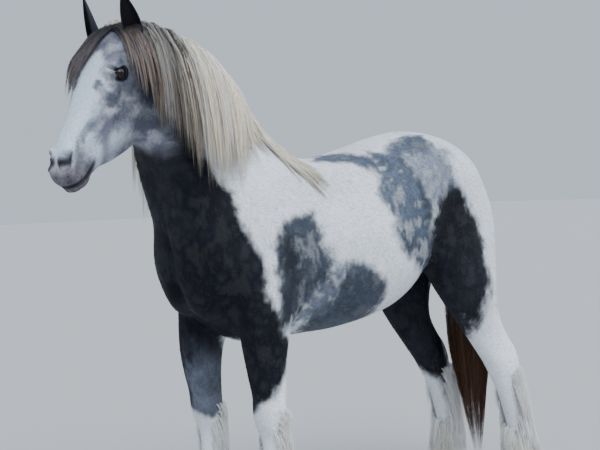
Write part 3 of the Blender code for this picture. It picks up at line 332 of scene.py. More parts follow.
class Form:
    """A soft shape along a straight axis, from stations of top, bottom and half width."""

    def __init__(self, stations, power, origin=(0, 0, 0), axes=LEVEL, side=0, lean=(0, 0, 0)):
        self.table = spread(stations)
        self.origin = np.array(origin, float)
        self.axes = axes
        self.side = side  # 1 left, -1 right, 0 on the middle line
        self.lean = lean
        self.power = power  # 2 for an ellipse, and more for a squarer section

    def leant(self, p, way):
        """Moves points by the leg's stance, or back."""
        return p + way * stance(p[:, 2], self.lean)

    def field(self, p):
        """About the distance from the surface, negative inside."""
        u, v, w = ((self.leant(p, -1) - self.origin) @ self.axes.T).T
        w = w * self.side if self.side else w
        t = self.table
        top, bottom, centre, half, egg = (np.interp(u, t[:, 0], t[:, i]) for i in range(1, 6))
        middle = (top + bottom) / 2
        tall = np.abs(top - bottom) / 2
        wide = half * (1 - egg * np.clip((v - middle) / tall, -1, 1))
        v = v - middle
        w = w - centre
        k = self.power
        ratio = (np.abs(v / tall) ** k + np.abs(w / wide) ** k) ** (1 / k)
        out = np.hypot(v, w)
        flank = np.where(ratio > 0.05, out - out / np.maximum(ratio, 0.05), -np.minimum(tall, wide))
        end = np.maximum(t[0, 0] - u, u - t[-1, 0])
        return soft_max(flank, end, END_BLEND)

    def rings(self, count, sides):
        """Rings of points along the axis."""
        angle = np.linspace(0, 2 * math.pi, sides, endpoint=False)
        bend = 2 / self.power
        c = np.sign(np.cos(angle)) * np.abs(np.cos(angle)) ** bend
        s = np.sign(np.sin(angle)) * np.abs(np.sin(angle)) ** bend
        rows = self.table[np.linspace(0, len(self.table) - 1, count).astype(int)]
        for u, top, bottom, centre, half, egg in rows:
            v = (top + bottom) / 2 + s * abs(top - bottom) / 2
            w = (centre + c * half * (1 - egg * s)) * (self.side or 1)
            yield self.leant(np.stack((np.full(sides, u), v, w), 1) @ self.axes + self.origin, 1)


class Lump:
    """An ellipsoid, on both sides where its centre is off the middle."""

    def __init__(self, centre, radii, pitch):
        self.centre, self.radii, self.turn = np.array(centre), np.array(radii), turned(pitch)

    def field(self, q):
        q = (mirrored(q) - self.centre) @ self.turn.T
        near = np.linalg.norm(q / self.radii, axis=1)
        slope = np.linalg.norm(q / self.radii**2, axis=1)
        return near * (near - 1) / np.maximum(slope, 1e-6)


TRUNK_FORM = Form(TRUNK, 2.25)
NECK_FORM = Form(NECK, 2.2, NECK_BASE, NECK_AXES)
HEAD_FORM = Form(HEAD, 2.5, axes=np.eye(3))
LEG_FORMS = {
    name: Form(stations, 2.2, axes=UPRIGHT, side=side, lean=lean)
    for name, (side, stations, lean) in LEGS.items()
}
BODY_MUSCLES = [Lump(*lump) for lump in BODY_LUMPS.values()]
BODY_DENTS = [Lump(*lump) for lump in BODY_HOLLOWS.values()]
HEAD_BONES = [Lump(*lump) for lump in HEAD_LUMPS.values()]
HEAD_DENTS = [Lump(*lump) for lump in HEAD_HOLLOWS.values()]
NOSTRIL_PIT = Lump(NOSTRIL, NOSTRIL_RADII, NOSTRIL_TURN)


def to_head(p):
    """World points in the head's own directions: along the face, up from it, left."""
    return (p - HEAD_PIVOT) @ HEAD_AXES.T / HEAD_SCALE


def from_head(q):
    return np.asarray(q, float) * HEAD_SCALE @ HEAD_AXES + HEAD_PIVOT


def eye_axes():
    """Rows: towards the inner corner, up the lid, and out, for the left eye."""
    out, inner = unit(EYE_OUT), turned(-EYE_TILT)[:, 0]
    inner = unit(inner - out * (inner @ out))
    return np.array((inner, np.cross(out, inner), out))


EYE_AXES = eye_axes()


def head_details(q, d):
    """Lids, nostrils and mouth, cut into or laid on the head."""
    q = mirrored(q)
    e = q - EYE_CENTRE
    away = np.linalg.norm(e, axis=1)
    d = soft_min(d, away - EYE_RADIUS - LID_THICK, LID_BLEND)
    a, b, out = (e @ EYE_AXES.T).T
    arch = np.sqrt(np.clip(1 - (a / LID_LENGTH) ** 2, 0, 1))
    almond = np.where(b > 0, b - LID_UP * arch, -b - LID_DOWN * arch)
    almond = np.maximum(almond, np.abs(a) - LID_LENGTH)
    pit = np.maximum(np.maximum(almond, EYE_RADIUS - EYE_SUNK - away), -out)
    d = soft_max(d, -pit, LID_EDGE)
    d = soft_max(d, -NOSTRIL_PIT.field(q), NOSTRIL_EDGE)
    level = np.interp(q[:, 0], *MOUTH_LINE)
    slit = np.maximum(np.abs(q[:, 1] - level) - MOUTH_WIDTH, MOUTH_CORNER - q[:, 0])
    slit = np.maximum(slit, -(d + MOUTH_DEPTH))
    return soft_max(d, -slit, MOUTH_EDGE)


def head_field(p):
    q = to_head(p)
    d = HEAD_FORM.field(q)
    for bone in HEAD_BONES:
        d = soft_min(d, bone.field(q), BONE_BLEND)
    for dent in HEAD_DENTS:
        d = soft_max(d, -dent.field(q), HOLLOW_BLEND)
    return d * HEAD_SCALE


def skin_field(p):
    """About the distance from the whole horse's skin, negative inside."""
    q = p[:, (0, 2, 1)]
    d = TRUNK_FORM.field(p)
    for muscle in BODY_MUSCLES:
        d = soft_min(d, muscle.field(q), MUSCLE_BLEND)
    for form in LEG_FORMS.values():
        d = soft_min(d, form.field(p), LEG_BLEND)
    d = soft_min(d, NECK_FORM.field(p), NECK_BLEND)
    for dent in BODY_DENTS:
        d = soft_max(d, -dent.field(q), DENT_BLEND)
    d = soft_min(d, head_field(p), HEAD_BLEND)
    near = np.linalg.norm(p - from_head(HEAD_MIDDLE), axis=1) < HEAD_REACH
    d[near] = head_details(to_head(p[near]), d[near] / HEAD_SCALE) * HEAD_SCALE
    return d


def rises(p, field, e):
    """The field at points, and how much it rises over a short step each way."""
    here = field(p)
    return here, np.stack([field(p + np.eye(3)[k] * e) - here for k in range(3)], 1)


def slope_of(p, field=skin_field):
    """The unit direction out of the surface."""
    return unit(rises(p, field, SLOPE_STEP)[1])


def settle(p, rounds=6, longest=0.03):
    """Moves points onto the skin, where its field is zero."""
    for _ in range(rounds):
        here, rise = rises(p, skin_field, SETTLE_STEP)
        slope = rise / SETTLE_STEP
        size = np.maximum((slope**2).sum(1), 0.05)
        move = -(here / size)[:, None] * slope
        far = np.linalg.norm(move, axis=1)[:, None]
        p = p + move * np.minimum(1, longest / np.maximum(far, 1e-9))
    return p


def linked(name, data):
    obj = bpy.data.objects.new(name, data)
    bpy.context.scene.collection.objects.link(obj)
    return obj


def tube_mesh(rings):
    """Points and faces of a closed tube through rings of equal length."""
    rings = [np.asarray(ring) for ring in rings]
    n = len(rings[0])
    faces = [tuple(range(n))[::-1]]
    for i in range(len(rings) - 1):
        for j in range(n):
            k = (j + 1) % n
            faces.append((i * n + j, i * n + k, (i + 1) * n + k, (i + 1) * n + j))
    faces.append(tuple((len(rings) - 1) * n + j for j in range(n)))
    return np.concatenate(rings), faces


def grouped(faces, *sizes):
    """An array of the faces of each size."""
    return [np.array([f for f in faces if len(f) == n]) for n in sizes]


def modified(obj, kind, **settings):
    """Replaces the object's mesh by what a modifier makes of it."""
    modifier = obj.modifiers.new("step", kind)
    for key, value in settings.items():
        setattr(modifier, key, value)
    graph = bpy.context.evaluated_depsgraph_get()
    mesh = bpy.data.meshes.new_from_object(obj.evaluated_get(graph))
    obj.modifiers.clear()
    old, obj.data = obj.data, mesh
    bpy.data.meshes.remove(old)


def coordinates(obj):
    p = np.empty(len(obj.data.vertices) * 3)
    obj.data.vertices.foreach_get("co", p)
    return p.reshape(-1, 3)


def set_coordinates(obj, p):
    obj.data.vertices.foreach_set("co", np.asarray(p, np.float32).ravel())
    obj.data.update()


def body_skin():
    """The skin: tubes through the forms joined by a voxel remesh, then laid on the field."""
    forms = (TRUNK_FORM, NECK_FORM, *LEG_FORMS.values())
    tubes = [list(form.rings(24, 18)) for form in forms]
    tubes.append([from_head(ring) for ring in HEAD_FORM.rings(24, 18)])
    points, faces = [], []
    for rings in tubes:
        p, f = tube_mesh(rings)
        start = sum(len(q) for q in points)
        points.append(p)
        faces += [tuple(start + i for i in face) for face in f]
    mesh = bpy.data.meshes.new("skin")
    mesh.from_pydata([tuple(q) for q in np.concatenate(points)], [], faces)
    mesh.validate()
    bm = bmesh.new()
    bm.from_mesh(mesh)
    bmesh.ops.triangulate(bm, faces=[f for f in bm.faces if len(f.verts) > 4])
    bmesh.ops.recalc_face_normals(bm, faces=bm.faces)
    bm.to_mesh(mesh)
    bm.free()
    skin = linked("skin", mesh)
    modified(skin, "REMESH", mode="VOXEL", voxel_size=BODY_VOXEL)
    for _ in range(2):
        set_coordinates(skin, settle(coordinates(skin)))
        modified(skin, "SMOOTH", iterations=2)
    set_coordinates(skin, settle(coordinates(skin)))
    return skin


def hoof_field(p):
    """About the distance from the four hooves."""
    d = np.full(len(p), 9.0)
    for name in LEGS:
        sole, coronet = hoof_frame(name)
        share = np.clip(p[:, 2] / HOOF_HEIGHT, 0, 1.3)[:, None]
        middle = sole + (coronet - sole) * share
        radius = SOLE_RADII[0] + (CORONET_RADII[0] - SOLE_RADII[0]) * share[:, 0]
        flat = np.hypot(p[:, 0] - middle[:, 0], p[:, 1] - middle[:, 1]) - radius
        d = np.minimum(d, np.maximum(flat, p[:, 2] - HOOF_HEIGHT * 1.3))
    return d


def firm_field(p):
    """Distance from skin and hooves, for hair to lie on."""
    return np.minimum(skin_field(p), hoof_field(p))


def leg_middle(name, height):
    """The middle of a leg at a height."""
    side, _, lean = LEGS[name]
    t = LEG_FORMS[name].table
    front, back, centre = (float(np.interp(height, t[:, 0], t[:, k])) for k in (1, 2, 3))
    return np.array(((front + back) / 2, side * centre, height)) + stance(np.array(height), lean)


def hoof_frame(name):
    """The middle of the sole and of the coronet of a leg."""
    sole, coronet = FORE_HOOF if name.startswith("fore") else HIND_HOOF
    side, _, lean = LEGS[name]
    y = side * LEG_SIDE + lean[1]
    return np.array((sole + lean[0], y, 0.0)), np.array((coronet + lean[0], y, HOOF_HEIGHT))


def ear_frame(side):
    """The ear's foot in the world, and rows: up the ear, the way it opens, across."""
    flip = np.array((1, 1, side))
    aim = unit(flip * EAR_AIM)
    face = flip * EAR_OPEN
    face = unit(face - aim * (face @ aim))
    rows = np.array((aim, face, np.cross(aim, face)))
    return from_head(flip * EAR_ROOT), rows @ HEAD_AXES


# Coat markings, with painted light and shade

# Colours, in linear light
WHITE = (0.78, 0.81, 0.86)
# The face's white: the same white hair as WHITE, painted darker and bluer as shade
SHADED_FACE_WHITE = (0.58, 0.67, 0.77)
STEEL = (0.150, 0.172, 0.222)
SLATE = (0.064, 0.081, 0.116)
GREY = (0.044, 0.055, 0.074)
DUSK = (0.050, 0.062, 0.084)
DARK = (0.022, 0.027, 0.038)
ROAN = (0.17, 0.17, 0.22)
BLUE = (0.0050, 0.0056, 0.0105)
BLACK = (0.006, 0.005, 0.007)
PINK = (0.40, 0.33, 0.36)
MUZZLE = (0.075, 0.066, 0.078)
CREAM = (1.0, 0.90, 0.72)
TAN = (0.50, 0.33, 0.19)
TAIL_BROWN = (0.105, 0.038, 0.016)
STAIN = (0.55, 0.45, 0.30)

PAINT_TOP = 1.42  # the back's height, from which drop() counts
# Outlines of the patches: distance along the horse, and down from the back
FRONT = (
    (0.86, -0.50), (0.78, -0.05), (0.71, 0.19), (0.645, 0.27), (0.640, 0.37), (0.605, 0.46),
    (0.565, 0.53), (0.557, 0.59), (0.566, 0.65), (0.540, 0.72), (0.500, 0.80), (0.450, 0.84),
    (0.438, 0.88), (0.448, 0.93), (0.478, 0.985), (0.520, 1.04), (0.565, 1.07), (0.62, 1.09),
    (1.05, 0.85), (1.60, 0.20), (1.20, -0.60),
)
GIRTH = (
    (0.512, 0.80), (0.509, 0.67), (0.496, 0.52), (0.463, 0.43), (0.381, 0.39), (0.326, 0.375),
    (0.305, 0.435), (0.289, 0.51), (0.265, 0.60), (0.284, 0.645), (0.326, 0.67), (0.368, 0.705),
    (0.371, 0.745), (0.462, 0.805),
)
BELLY = (
    (0.345, 0.79), (0.312, 0.75), (0.279, 0.734), (0.257, 0.70), (0.224, 0.647), (0.195, 0.616),
    (0.138, 0.632), (0.067, 0.66), (0.013, 0.70), (0.006, 0.744), (0.048, 0.785), (0.104, 0.81),
    (0.22, 0.82),
)
COLUMN = (
    (0.508, 0.81), (0.506, 0.67), (0.494, 0.53), (0.455, 0.455), (0.415, 0.50), (0.405, 0.62),
    (0.420, 0.74), (0.455, 0.81),
)
GREYS = (
    (0.40, 0.56), (0.284, 0.63), (0.203, 0.61), (0.215, 0.69), (0.27, 0.76), (0.33, 0.77),
    (0.41, 0.71),
)
LOIN = (
    (0.205, 0.09), (0.090, 0.035), (0.038, 0.06), (-0.003, 0.10), (-0.05, 0.15), (-0.017, 0.235),
    (0.013, 0.205), (0.057, 0.158), (0.121, 0.122),
)
BAND = (
    (-0.060, 0.09), (-0.017, 0.229), (0.015, 0.344), (-0.012, 0.437), (-0.027, 0.55),
    (-0.073, 0.61), (-0.165, 0.635), (-0.245, 0.63), (-0.268, 0.54), (-0.255, 0.417),
    (-0.205, 0.335), (-0.165, 0.254), (-0.150, 0.16),
)
CROUP = (
    (-0.115, 0.12), (-0.193, 0.05), (-0.275, 0.02), (-0.342, 0.03), (-0.325, 0.11), (-0.294, 0.17),
    (-0.253, 0.155), (-0.175, 0.174), (-0.103, 0.232), (-0.05, 0.25),
)
HIP = (
    (-0.150, 0.20), (-0.200, 0.14), (-0.311, 0.12), (-0.390, 0.15), (-0.400, 0.22), (-0.395, 0.30),
    (-0.380, 0.37), (-0.325, 0.42), (-0.242, 0.42), (-0.190, 0.335),
)
THIGH = (
    (-0.245, 0.66), (-0.250, 0.54), (-0.262, 0.46), (-0.300, 0.36), (-0.35, 0.315), (-0.40, 0.325),
    (-0.470, 0.384), (-0.512, 0.458), (-0.540, 0.569), (-0.552, 0.686), (-0.540, 0.796),
    (-0.515, 0.88), (-0.47, 0.875), (-0.40, 0.82), (-0.31, 0.74),
)
THIGH_FAR = (
    (-0.20, 0.60), (-0.28, 0.50), (-0.40, 0.42), (-0.56, 0.50), (-0.62, 0.70), (-0.67, 0.90),
    (-0.680, 1.03), (-0.67, 1.15), (-0.635, 1.09), (-0.55, 1.06), (-0.40, 0.99), (-0.26, 0.87),
)
# The blaze on the face: distance down the face, and half its width
BLAZE = np.array((
    (0.100, -0.040), (0.135, 0.002), (0.165, 0.028), (0.195, 0.044), (0.23, 0.052), (0.30, 0.050),
    (0.38, 0.050), (0.46, 0.054), (0.53, 0.050), (0.60, 0.040), (0.66, 0.030),
)).T
# The crease of the flank, where shade is painted: distance down from the back, and along the horse
FLANK_CREASE_SHADE = np.array((
    (0.18, -0.14), (0.254, -0.158), (0.335, -0.197), (0.417, -0.242), (0.54, -0.252),
    (0.62, -0.245),
)).T
# Marks on the cheeks: place along the head and up, half sizes, colour and strength
MARKS = (
    (0.300, -0.075, 0.040, 0.022, DUSK, 0.75),
    (0.250, -0.100, 0.050, 0.030, DUSK, 0.40),
    (0.282, -0.013, 0.022, 0.012, DUSK, 0.70),
    (0.440, -0.055, 0.075, 0.016, DUSK, 0.60),
    (0.250, -0.240, 0.050, 0.050, DUSK, 0.50),
    (0.150, -0.220, 0.060, 0.060, DUSK, 0.70),
    # these light marks take the face's white, which holds painted shade
    (0.375, -0.040, 0.038, 0.024, SHADED_FACE_WHITE, 0.60),
    (0.365, -0.190, 0.055, 0.045, SHADED_FACE_WHITE, 0.35),
    (0.480, -0.105, 0.050, 0.028, SHADED_FACE_WHITE, 0.45),
    (0.300, -0.150, 0.060, 0.040, DUSK, 0.35),
)


def noise(p, size, seed=0):
    """Smooth noise from -1 to 1 with features of about this size."""
    q = np.asarray(p, float) / size + seed * 7.31
    cell = np.floor(q)
    f = q - cell
    f = f * f * (3 - 2 * f)
    total = np.zeros(len(q))
    for k in range(8):
        corner = np.array((k & 1, k >> 1 & 1, k >> 2 & 1))
        h = np.sin((cell + corner) @ (127.1, 311.7, 74.7)) * 43758.5453
        total += (h - np.floor(h)) * np.prod(np.where(corner, f, 1 - f), axis=1)
    return total * 2 - 1


def smooth(low, high, x):
    t = np.clip((x - low) / (high - low), 0, 1)
    return t * t * (3 - 2 * t)


def within(outline, q):
    """Distance to an outline in the plane, positive inside."""
    line = np.array(outline)
    ahead = np.roll(line, -1, axis=0)
    best = np.full(len(q), 9.0)
    inside = np.zeros(len(q), bool)
    for a, b in zip(line, ahead):
        edge = b - a
        t = np.clip(((q - a) @ edge) / (edge @ edge), 0, 1)
        best = np.minimum(best, np.linalg.norm(q - a - t[:, None] * edge, axis=1))
        cross = (a[1] > q[:, 1]) != (b[1] > q[:, 1])
        x = a[0] + (q[:, 1] - a[1]) * edge[0] / (edge[1] if abs(edge[1]) > 1e-9 else 1e-9)
        inside ^= cross & (q[:, 0] < x)
    return np.where(inside, best, -best)


def drop(p):
    """Distance along the horse, and down over its side from the back."""
    return np.stack((p[:, 0], PAINT_TOP - p[:, 2] + 0.6 * np.abs(p[:, 1])), 1)


def mixed(a, b, share):
    share = np.asarray(share)[:, None]
    return np.asarray(a) * (1 - share) + np.asarray(b) * share


def flecked(a, b, p, size, seed, base, gain, top=1.0):
    """Two colours mixed by noise: the second one's mean share, and how much it varies."""
    return mixed(a, b, np.clip(base + gain * noise(p, size, seed), 0, top))


def coat_colour(p):
    """The coat's colour at points of the skin, with painted shade in the flank's crease, painted
    light low down and on the far foreleg, and painted sheen in the patches.
    """
    far = smooth(0.03, 0.16, -p[:, 1])[:, None]
    warp = np.stack((noise(p, 0.09, 1), noise(p, 0.09, 2)), 1) * 0.014
    warp += np.stack((noise(p, 0.03, 3), noise(p, 0.03, 4)), 1) * 0.009
    q = drop(p) + warp
    fleck = noise(p * (1, 1, 0.5), 0.020, 5) * 0.5 + noise(p * (1, 1, 0.5), 0.008, 6) * 0.5
    dapple = noise(p, 0.040, 7)
    cloud = noise(p, 0.12, 8)
    colour = mixed(WHITE, STEEL, np.clip(0.05 + 0.16 * cloud + 0.12 * fleck, 0, 1))
    shifted = q + far * (0.10, -0.05)
    back = q + far * (-0.05, 0.02)
    thigh = np.where(p[:, 1] > 0, within(THIGH, q), within(THIGH_FAR, q))
    # each patch: its distance inside, colour, how soft its edge is, and how broken it is
    for inside, tone, soft, broken in (
        (within(HIP, back), STEEL, 0.040, 0.30),
        (within(GREYS, shifted), STEEL, 0.030, 0.40),
        (within(BAND, back), SLATE, 0.024, 0.32),
        (within(LOIN, shifted), SLATE, 0.018, 0.15),
        (within(CROUP, back), SLATE, 0.026, 0.15),
        (within(GIRTH, shifted), GREY, 0.028, 0.20),
        (within(COLUMN, shifted), DARK, 0.034, 0.05),
        (within(BELLY, shifted), DUSK, 0.024, 0.10),
        (within(FRONT, q), BLUE, 0.020, 0.02),
        (thigh, BLUE, 0.028, 0.02),
    ):
        share = smooth(-soft, soft, inside + soft * 0.7 * fleck)
        share = share * (1 - broken * smooth(0.1, -0.5, 0.8 * dapple + 0.7 * fleck))
        # Each patch is mottled by noise, and lifted a little towards grey in flecks of painted
        # sheen
        mottle_and_sheen = np.clip(0.8 * cloud + dapple + 0.8 * fleck, -1.2, 1.5)[:, None]
        deep = np.asarray(tone) * (1 + 0.5 * mottle_and_sheen) + 0.014 * np.clip(mottle_and_sheen - 0.1, 0, 1)
        colour = colour * (1 - share[:, None]) + deep * share[:, None]
    # Painted light: the light coat low down, mostly on the legs, is made lighter
    low_white_light = smooth(0.85, 0.60, p[:, 2])[:, None] * smooth(0.3, 0.6, colour[:, 1])[:, None]
    colour = colour * (1 + 0.14 * low_white_light)
    # Painted shade along the crease of the flank
    fold = smooth(0.030, 0.004, np.abs(back[:, 0] - np.interp(q[:, 1], *FLANK_CREASE_SHADE)))
    fold *= smooth(0.14, 0.22, q[:, 1]) * smooth(0.68, 0.60, q[:, 1])
    colour = mixed(colour, DUSK, fold * np.clip(0.72 + 0.3 * fleck, 0, 1))
    # Painted light: the inner side of the far foreleg is lit to steel grey, at mid height
    inner = smooth(0.74, 0.58, p[:, 2] + 0.05 * cloud)
    inner = inner * smooth(-0.190, -0.150, p[:, 1] + 0.02 * fleck)
    inner = inner * (p[:, 1] < 0) * (p[:, 0] > 0.3) * smooth(0.38, 0.46, p[:, 2])
    colour = mixed(colour, STEEL, inner * np.clip(0.6 + 0.5 * cloud + 0.4 * fleck, 0, 0.9))
    low = smooth(0.55, 0.30, p[:, 2]) * smooth(0.1, -0.3, fleck) * 0.12
    return mixed(colour, STAIN, low)


def face_colour(p, colour):
    """Adds the head's colours to a coat's."""
    h = to_head(p)
    q = mirrored(h)
    side = q[:, 2]
    reach = smooth(-0.05, 0.02, h[:, 0] + 0.05 - 0.35 * np.clip(-h[:, 1] - 0.12, 0, 1))
    reach *= smooth(-0.37, -0.31, h[:, 1])
    fleck = noise(p, 0.014, 9) * 0.6 + noise(p, 0.006, 10) * 0.4
    cloud = noise(p, 0.045, 11)
    skin = mixed(ROAN, WHITE, np.clip(0.16 + 0.42 * cloud + 0.25 * fleck, 0, 0.8))
    skin = mixed(skin, BLUE, smooth(0.13, 0.00, h[:, 0]) * 0.85)
    skin = mixed(skin, DUSK, smooth(0.20, 0.05, h[:, 0] + 0.4 * h[:, 1]) * 0.6)
    edge = np.interp(h[:, 0], *BLAZE) - side + 0.009 * fleck + 0.012 * cloud
    front = smooth(-0.095, -0.045, h[:, 1])
    # The blaze and the lower face take the face's white, which holds painted shade
    skin = mixed(skin, SHADED_FACE_WHITE, smooth(-0.012, 0.016, edge) * front)
    lower = smooth(0.33, 0.46, h[:, 0]) * smooth(-0.02, -0.10, h[:, 1]) * (0.35 + 0.35 * cloud)
    skin = mixed(skin, SHADED_FACE_WHITE, np.clip(lower, 0, 1))
    for along, up, long, tall, tone, strength in MARKS:
        mark = np.hypot((q[:, 0] - along) / long, (q[:, 1] - up) / tall)
        mark = mark + 0.35 * fleck + 0.3 * cloud
        skin = mixed(skin, tone, smooth(1.25, 0.55, mark) * strength * smooth(0.028, 0.044, side))
    muzzle = smooth(0.53, 0.60, h[:, 0] + 0.010 * cloud - 0.25 * (h[:, 1] + 0.09))
    skin = mixed(skin, mixed(PINK, DUSK, np.clip(0.35 + 0.6 * cloud, 0, 1)), muzzle * 0.55)
    chin = smooth(-0.045, -0.085, h[:, 1] + 0.014 * cloud) * smooth(0.49, 0.54, h[:, 0])
    skin = mixed(skin, MUZZLE, chin * np.clip(0.75 + 0.4 * fleck, 0, 1))
    lip = np.abs(h[:, 1] - np.interp(h[:, 0], *MOUTH_LINE))
    lip = smooth(0.016, 0.004, lip + 0.003 * fleck)
    lip *= smooth(MOUTH_CORNER - 0.01, MOUTH_CORNER + 0.02, h[:, 0])
    skin = mixed(skin, BLACK, lip * 0.8)
    away = np.linalg.norm((q - EYE_CENTRE) * (0.8, 1.2, 1), axis=1)
    skin = mixed(skin, DUSK, smooth(0.062, 0.034, away + 0.008 * fleck) * 0.65)
    rim = np.hypot((q[:, 0] - EYE_CENTRE[0]) / 0.034, (q[:, 1] - EYE_CENTRE[1]) / 0.021)
    rim = smooth(1.15, 0.85, rim + 0.1 * fleck) * 0.95
    skin = mixed(skin, BLACK, rim * smooth(0.05, 0.07, side))
    # Painted shade: black over the nostril's opening and its rim
    nostril_shade = np.linalg.norm((q - NOSTRIL - (0.016, 0.013, 0)) / (0.037, 0.025, 0.054), axis=1)
    skin = mixed(skin, BLACK, smooth(1.15, 0.80, nostril_shade + 0.08 * fleck) * 0.95)
    return mixed(colour, skin, reach)


def body_colour(p):
    """The whole skin's colour."""
    return face_colour(p, coat_colour(p))


# Meshes

def made(name, points, faces, colour=None, uv=None):
    """A mesh in the frame's coordinates, with a colour at each point and a UV at each corner."""
    points = np.asarray(points, np.float32) + np.float32(MIDDLE)
    mesh = bpy.data.meshes.new(name)
    mesh.vertices.add(len(points))
    mesh.vertices.foreach_set("co", points.ravel())
    sizes = np.concatenate([np.full(len(f), f.shape[1]) for f in faces])
    corners = np.concatenate([f.ravel() for f in faces])
    mesh.loops.add(len(corners))
    mesh.loops.foreach_set("vertex_index", corners.astype(np.int32))
    mesh.polygons.add(len(sizes))
    starts = np.concatenate(((0,), np.cumsum(sizes)[:-1]))
    mesh.polygons.foreach_set("loop_start", starts.astype(np.int32))
    mesh.update(calc_edges=True)
    mesh.polygons.foreach_set("use_smooth", np.ones(len(sizes), bool))
    obj = linked(name, mesh)
    if colour is not None:
        add_colour(obj, colour)
    if uv is not None:
        layer = mesh.uv_layers.new(name="OFBake")
        layer.data.foreach_set("uv", uv[corners].astype(np.float32).ravel())
    return obj


def add_colour(obj, colour):
    layer = obj.data.color_attributes.new("tint", "FLOAT_COLOR", "POINT")
    colour = np.concatenate((np.clip(colour, 0, 1), np.ones((len(colour), 1))), 1)
    layer.data.foreach_set("color", colour.astype(np.float32).ravel())


def material(name, roughness, bump=0.0, grain=400.0, stretch=(1, 1, 1), shine=0.22):
    """A finish that takes its colour from the mesh, with a fine grain in colour and height."""
    mat = bpy.data.materials.new(name)
    mat.use_nodes = True
    nodes, links = mat.node_tree.nodes, mat.node_tree.links

    def node(kind, **inputs):
        made_node = nodes.new("ShaderNode" + kind)
        for key, value in inputs.items():
            made_node.inputs[key.replace("_", " ")].default_value = value
        return made_node

    shader = nodes["Principled BSDF"]
    shader.inputs["Roughness"].default_value = roughness
    shader.inputs["Specular IOR Level"].default_value = shine
    place = node("TexCoord")
    scale = node("Mapping", Scale=stretch)
    grains = node("TexNoise", Scale=grain, Detail=3.0)
    ramp = node("MapRange", From_Min=0.3, From_Max=0.7, To_Min=0.80, To_Max=1.16)
    tint = node("Attribute")
    tint.attribute_name = "tint"
    shade = node("Mix", Factor=1.0)
    shade.data_type = "RGBA"
    shade.blend_type = "MULTIPLY"
    links.new(place.outputs["Object"], scale.inputs["Vector"])
    links.new(scale.outputs["Vector"], grains.inputs["Vector"])
    links.new(grains.outputs["Fac"], ramp.inputs["Value"])
    links.new(tint.outputs["Color"], shade.inputs[6])
    links.new(ramp.outputs["Result"], shade.inputs[7])
    links.new(shade.outputs[2], shader.inputs["Base Color"])
    if bump:
        height = node("Bump", Strength=bump, Distance=0.002)
        links.new(grains.outputs["Fac"], height.inputs["Height"])
        links.new(height.outputs["Normal"], shader.inputs["Normal"])
    return mat


def finer(skin, near):
    """Splits the faces whose points are near, and lays the new points on the field."""
    bm = bmesh.new()
    bm.from_mesh(skin.data)
    points = np.array([v.co for v in bm.verts])
    chosen = near(points)
    edges = [e for e in bm.edges if chosen[e.verts[0].index] and chosen[e.verts[1].index]]
    bmesh.ops.subdivide_edges(bm, edges=edges, cuts=1, use_grid_fill=True)
    bmesh.ops.triangulate(bm, faces=[f for f in bm.faces if len(f.verts) > 4])
    bm.to_mesh(skin.data)
    bm.free()
    p = coordinates(skin)
    near_now = near(p)
    p[near_now] = settle(p[near_now], 3, 0.01)
    set_coordinates(skin, p)


def near_head(p):
    h = to_head(p)
    return (h[:, 0] > -0.03) & (h[:, 1] > -0.34) & (h[:, 0] < 0.72) & (np.abs(h[:, 2]) < 0.2)


def near_place(p, place, reach):
    """Whether points are near a place on either side of the head."""
    return np.linalg.norm(mirrored(to_head(p)) - place, axis=1) < reach


def near_features(p):
    return near_place(p, EYE_CENTRE, 0.050) | (near_head(p) & (to_head(p)[:, 0] > 0.47))


def near_eyes(p):
    return near_place(p, EYE_CENTRE, 0.038) | near_place(p, NOSTRIL, 0.036)


def skin_piece():
    skin = body_skin()
    for near in (near_head, near_features, near_eyes):
        finer(skin, near)
    modified(skin, "TRIANGULATE", min_vertices=4)
    p = coordinates(skin)
    add_colour(skin, body_colour(p))
    set_coordinates(skin, p + MIDDLE)
    skin.data.shade_smooth()
    return skin


# Hair

def lie(p, normal, way):
    """The direction along the skin nearest to a given one."""
    way = np.broadcast_to(np.asarray(way, float), p.shape)
    return unit(way - normal * np.einsum("ij,ij->i", way, normal)[:, None])


def drape(roots, starts, lengths, lift, fall, steps=8):
    """Paths that leave their roots along starts, fall, and lie lifted off the skin."""
    down = np.array((0.0, 0.0, -1.0))
    share = 1 - (1 - np.asarray(fall)) ** (5 / steps)
    share = np.broadcast_to(share, len(roots))[:, None]
    normal = slope_of(roots, firm_field)
    paths, normals = [roots - normal * ROOT_SINK], [normal]
    p, d = roots, unit(starts)
    length = (lengths / steps)[:, None]
    for i in range(1, steps + 1):
        d = unit(d * (1 - share) + down * share)
        q = p + d * length
        rise = lift * min(1.0, 2.2 * i / steps)
        for _ in range(3):
            q[:, 2] = np.maximum(q[:, 2], FLOOR_GAP)
            short = rise - firm_field(q)
            q = q + slope_of(q, firm_field) * np.maximum(short, 0)[:, None]
        d = unit(q - p)
        normal = slope_of(q, firm_field)
        paths.append(q)
        normals.append(normal)
        p = q
    return np.stack(paths, 1), np.stack(normals, 1)


def eased(path, count):
    """The same paths with more points on a smooth curve."""
    steps = path.shape[1] - 1
    t = np.linspace(0, steps, count)
    i = np.clip(t.astype(int), 0, steps - 1)
    f = (t - i)[None, :, None]
    a, b = path[:, i], path[:, i + 1]
    before, after = path[:, np.maximum(i - 1, 0)], path[:, np.minimum(i + 2, steps)]
    m, n = (b - before) / 2, (after - a) / 2
    return curved(a, b, m, n, f)


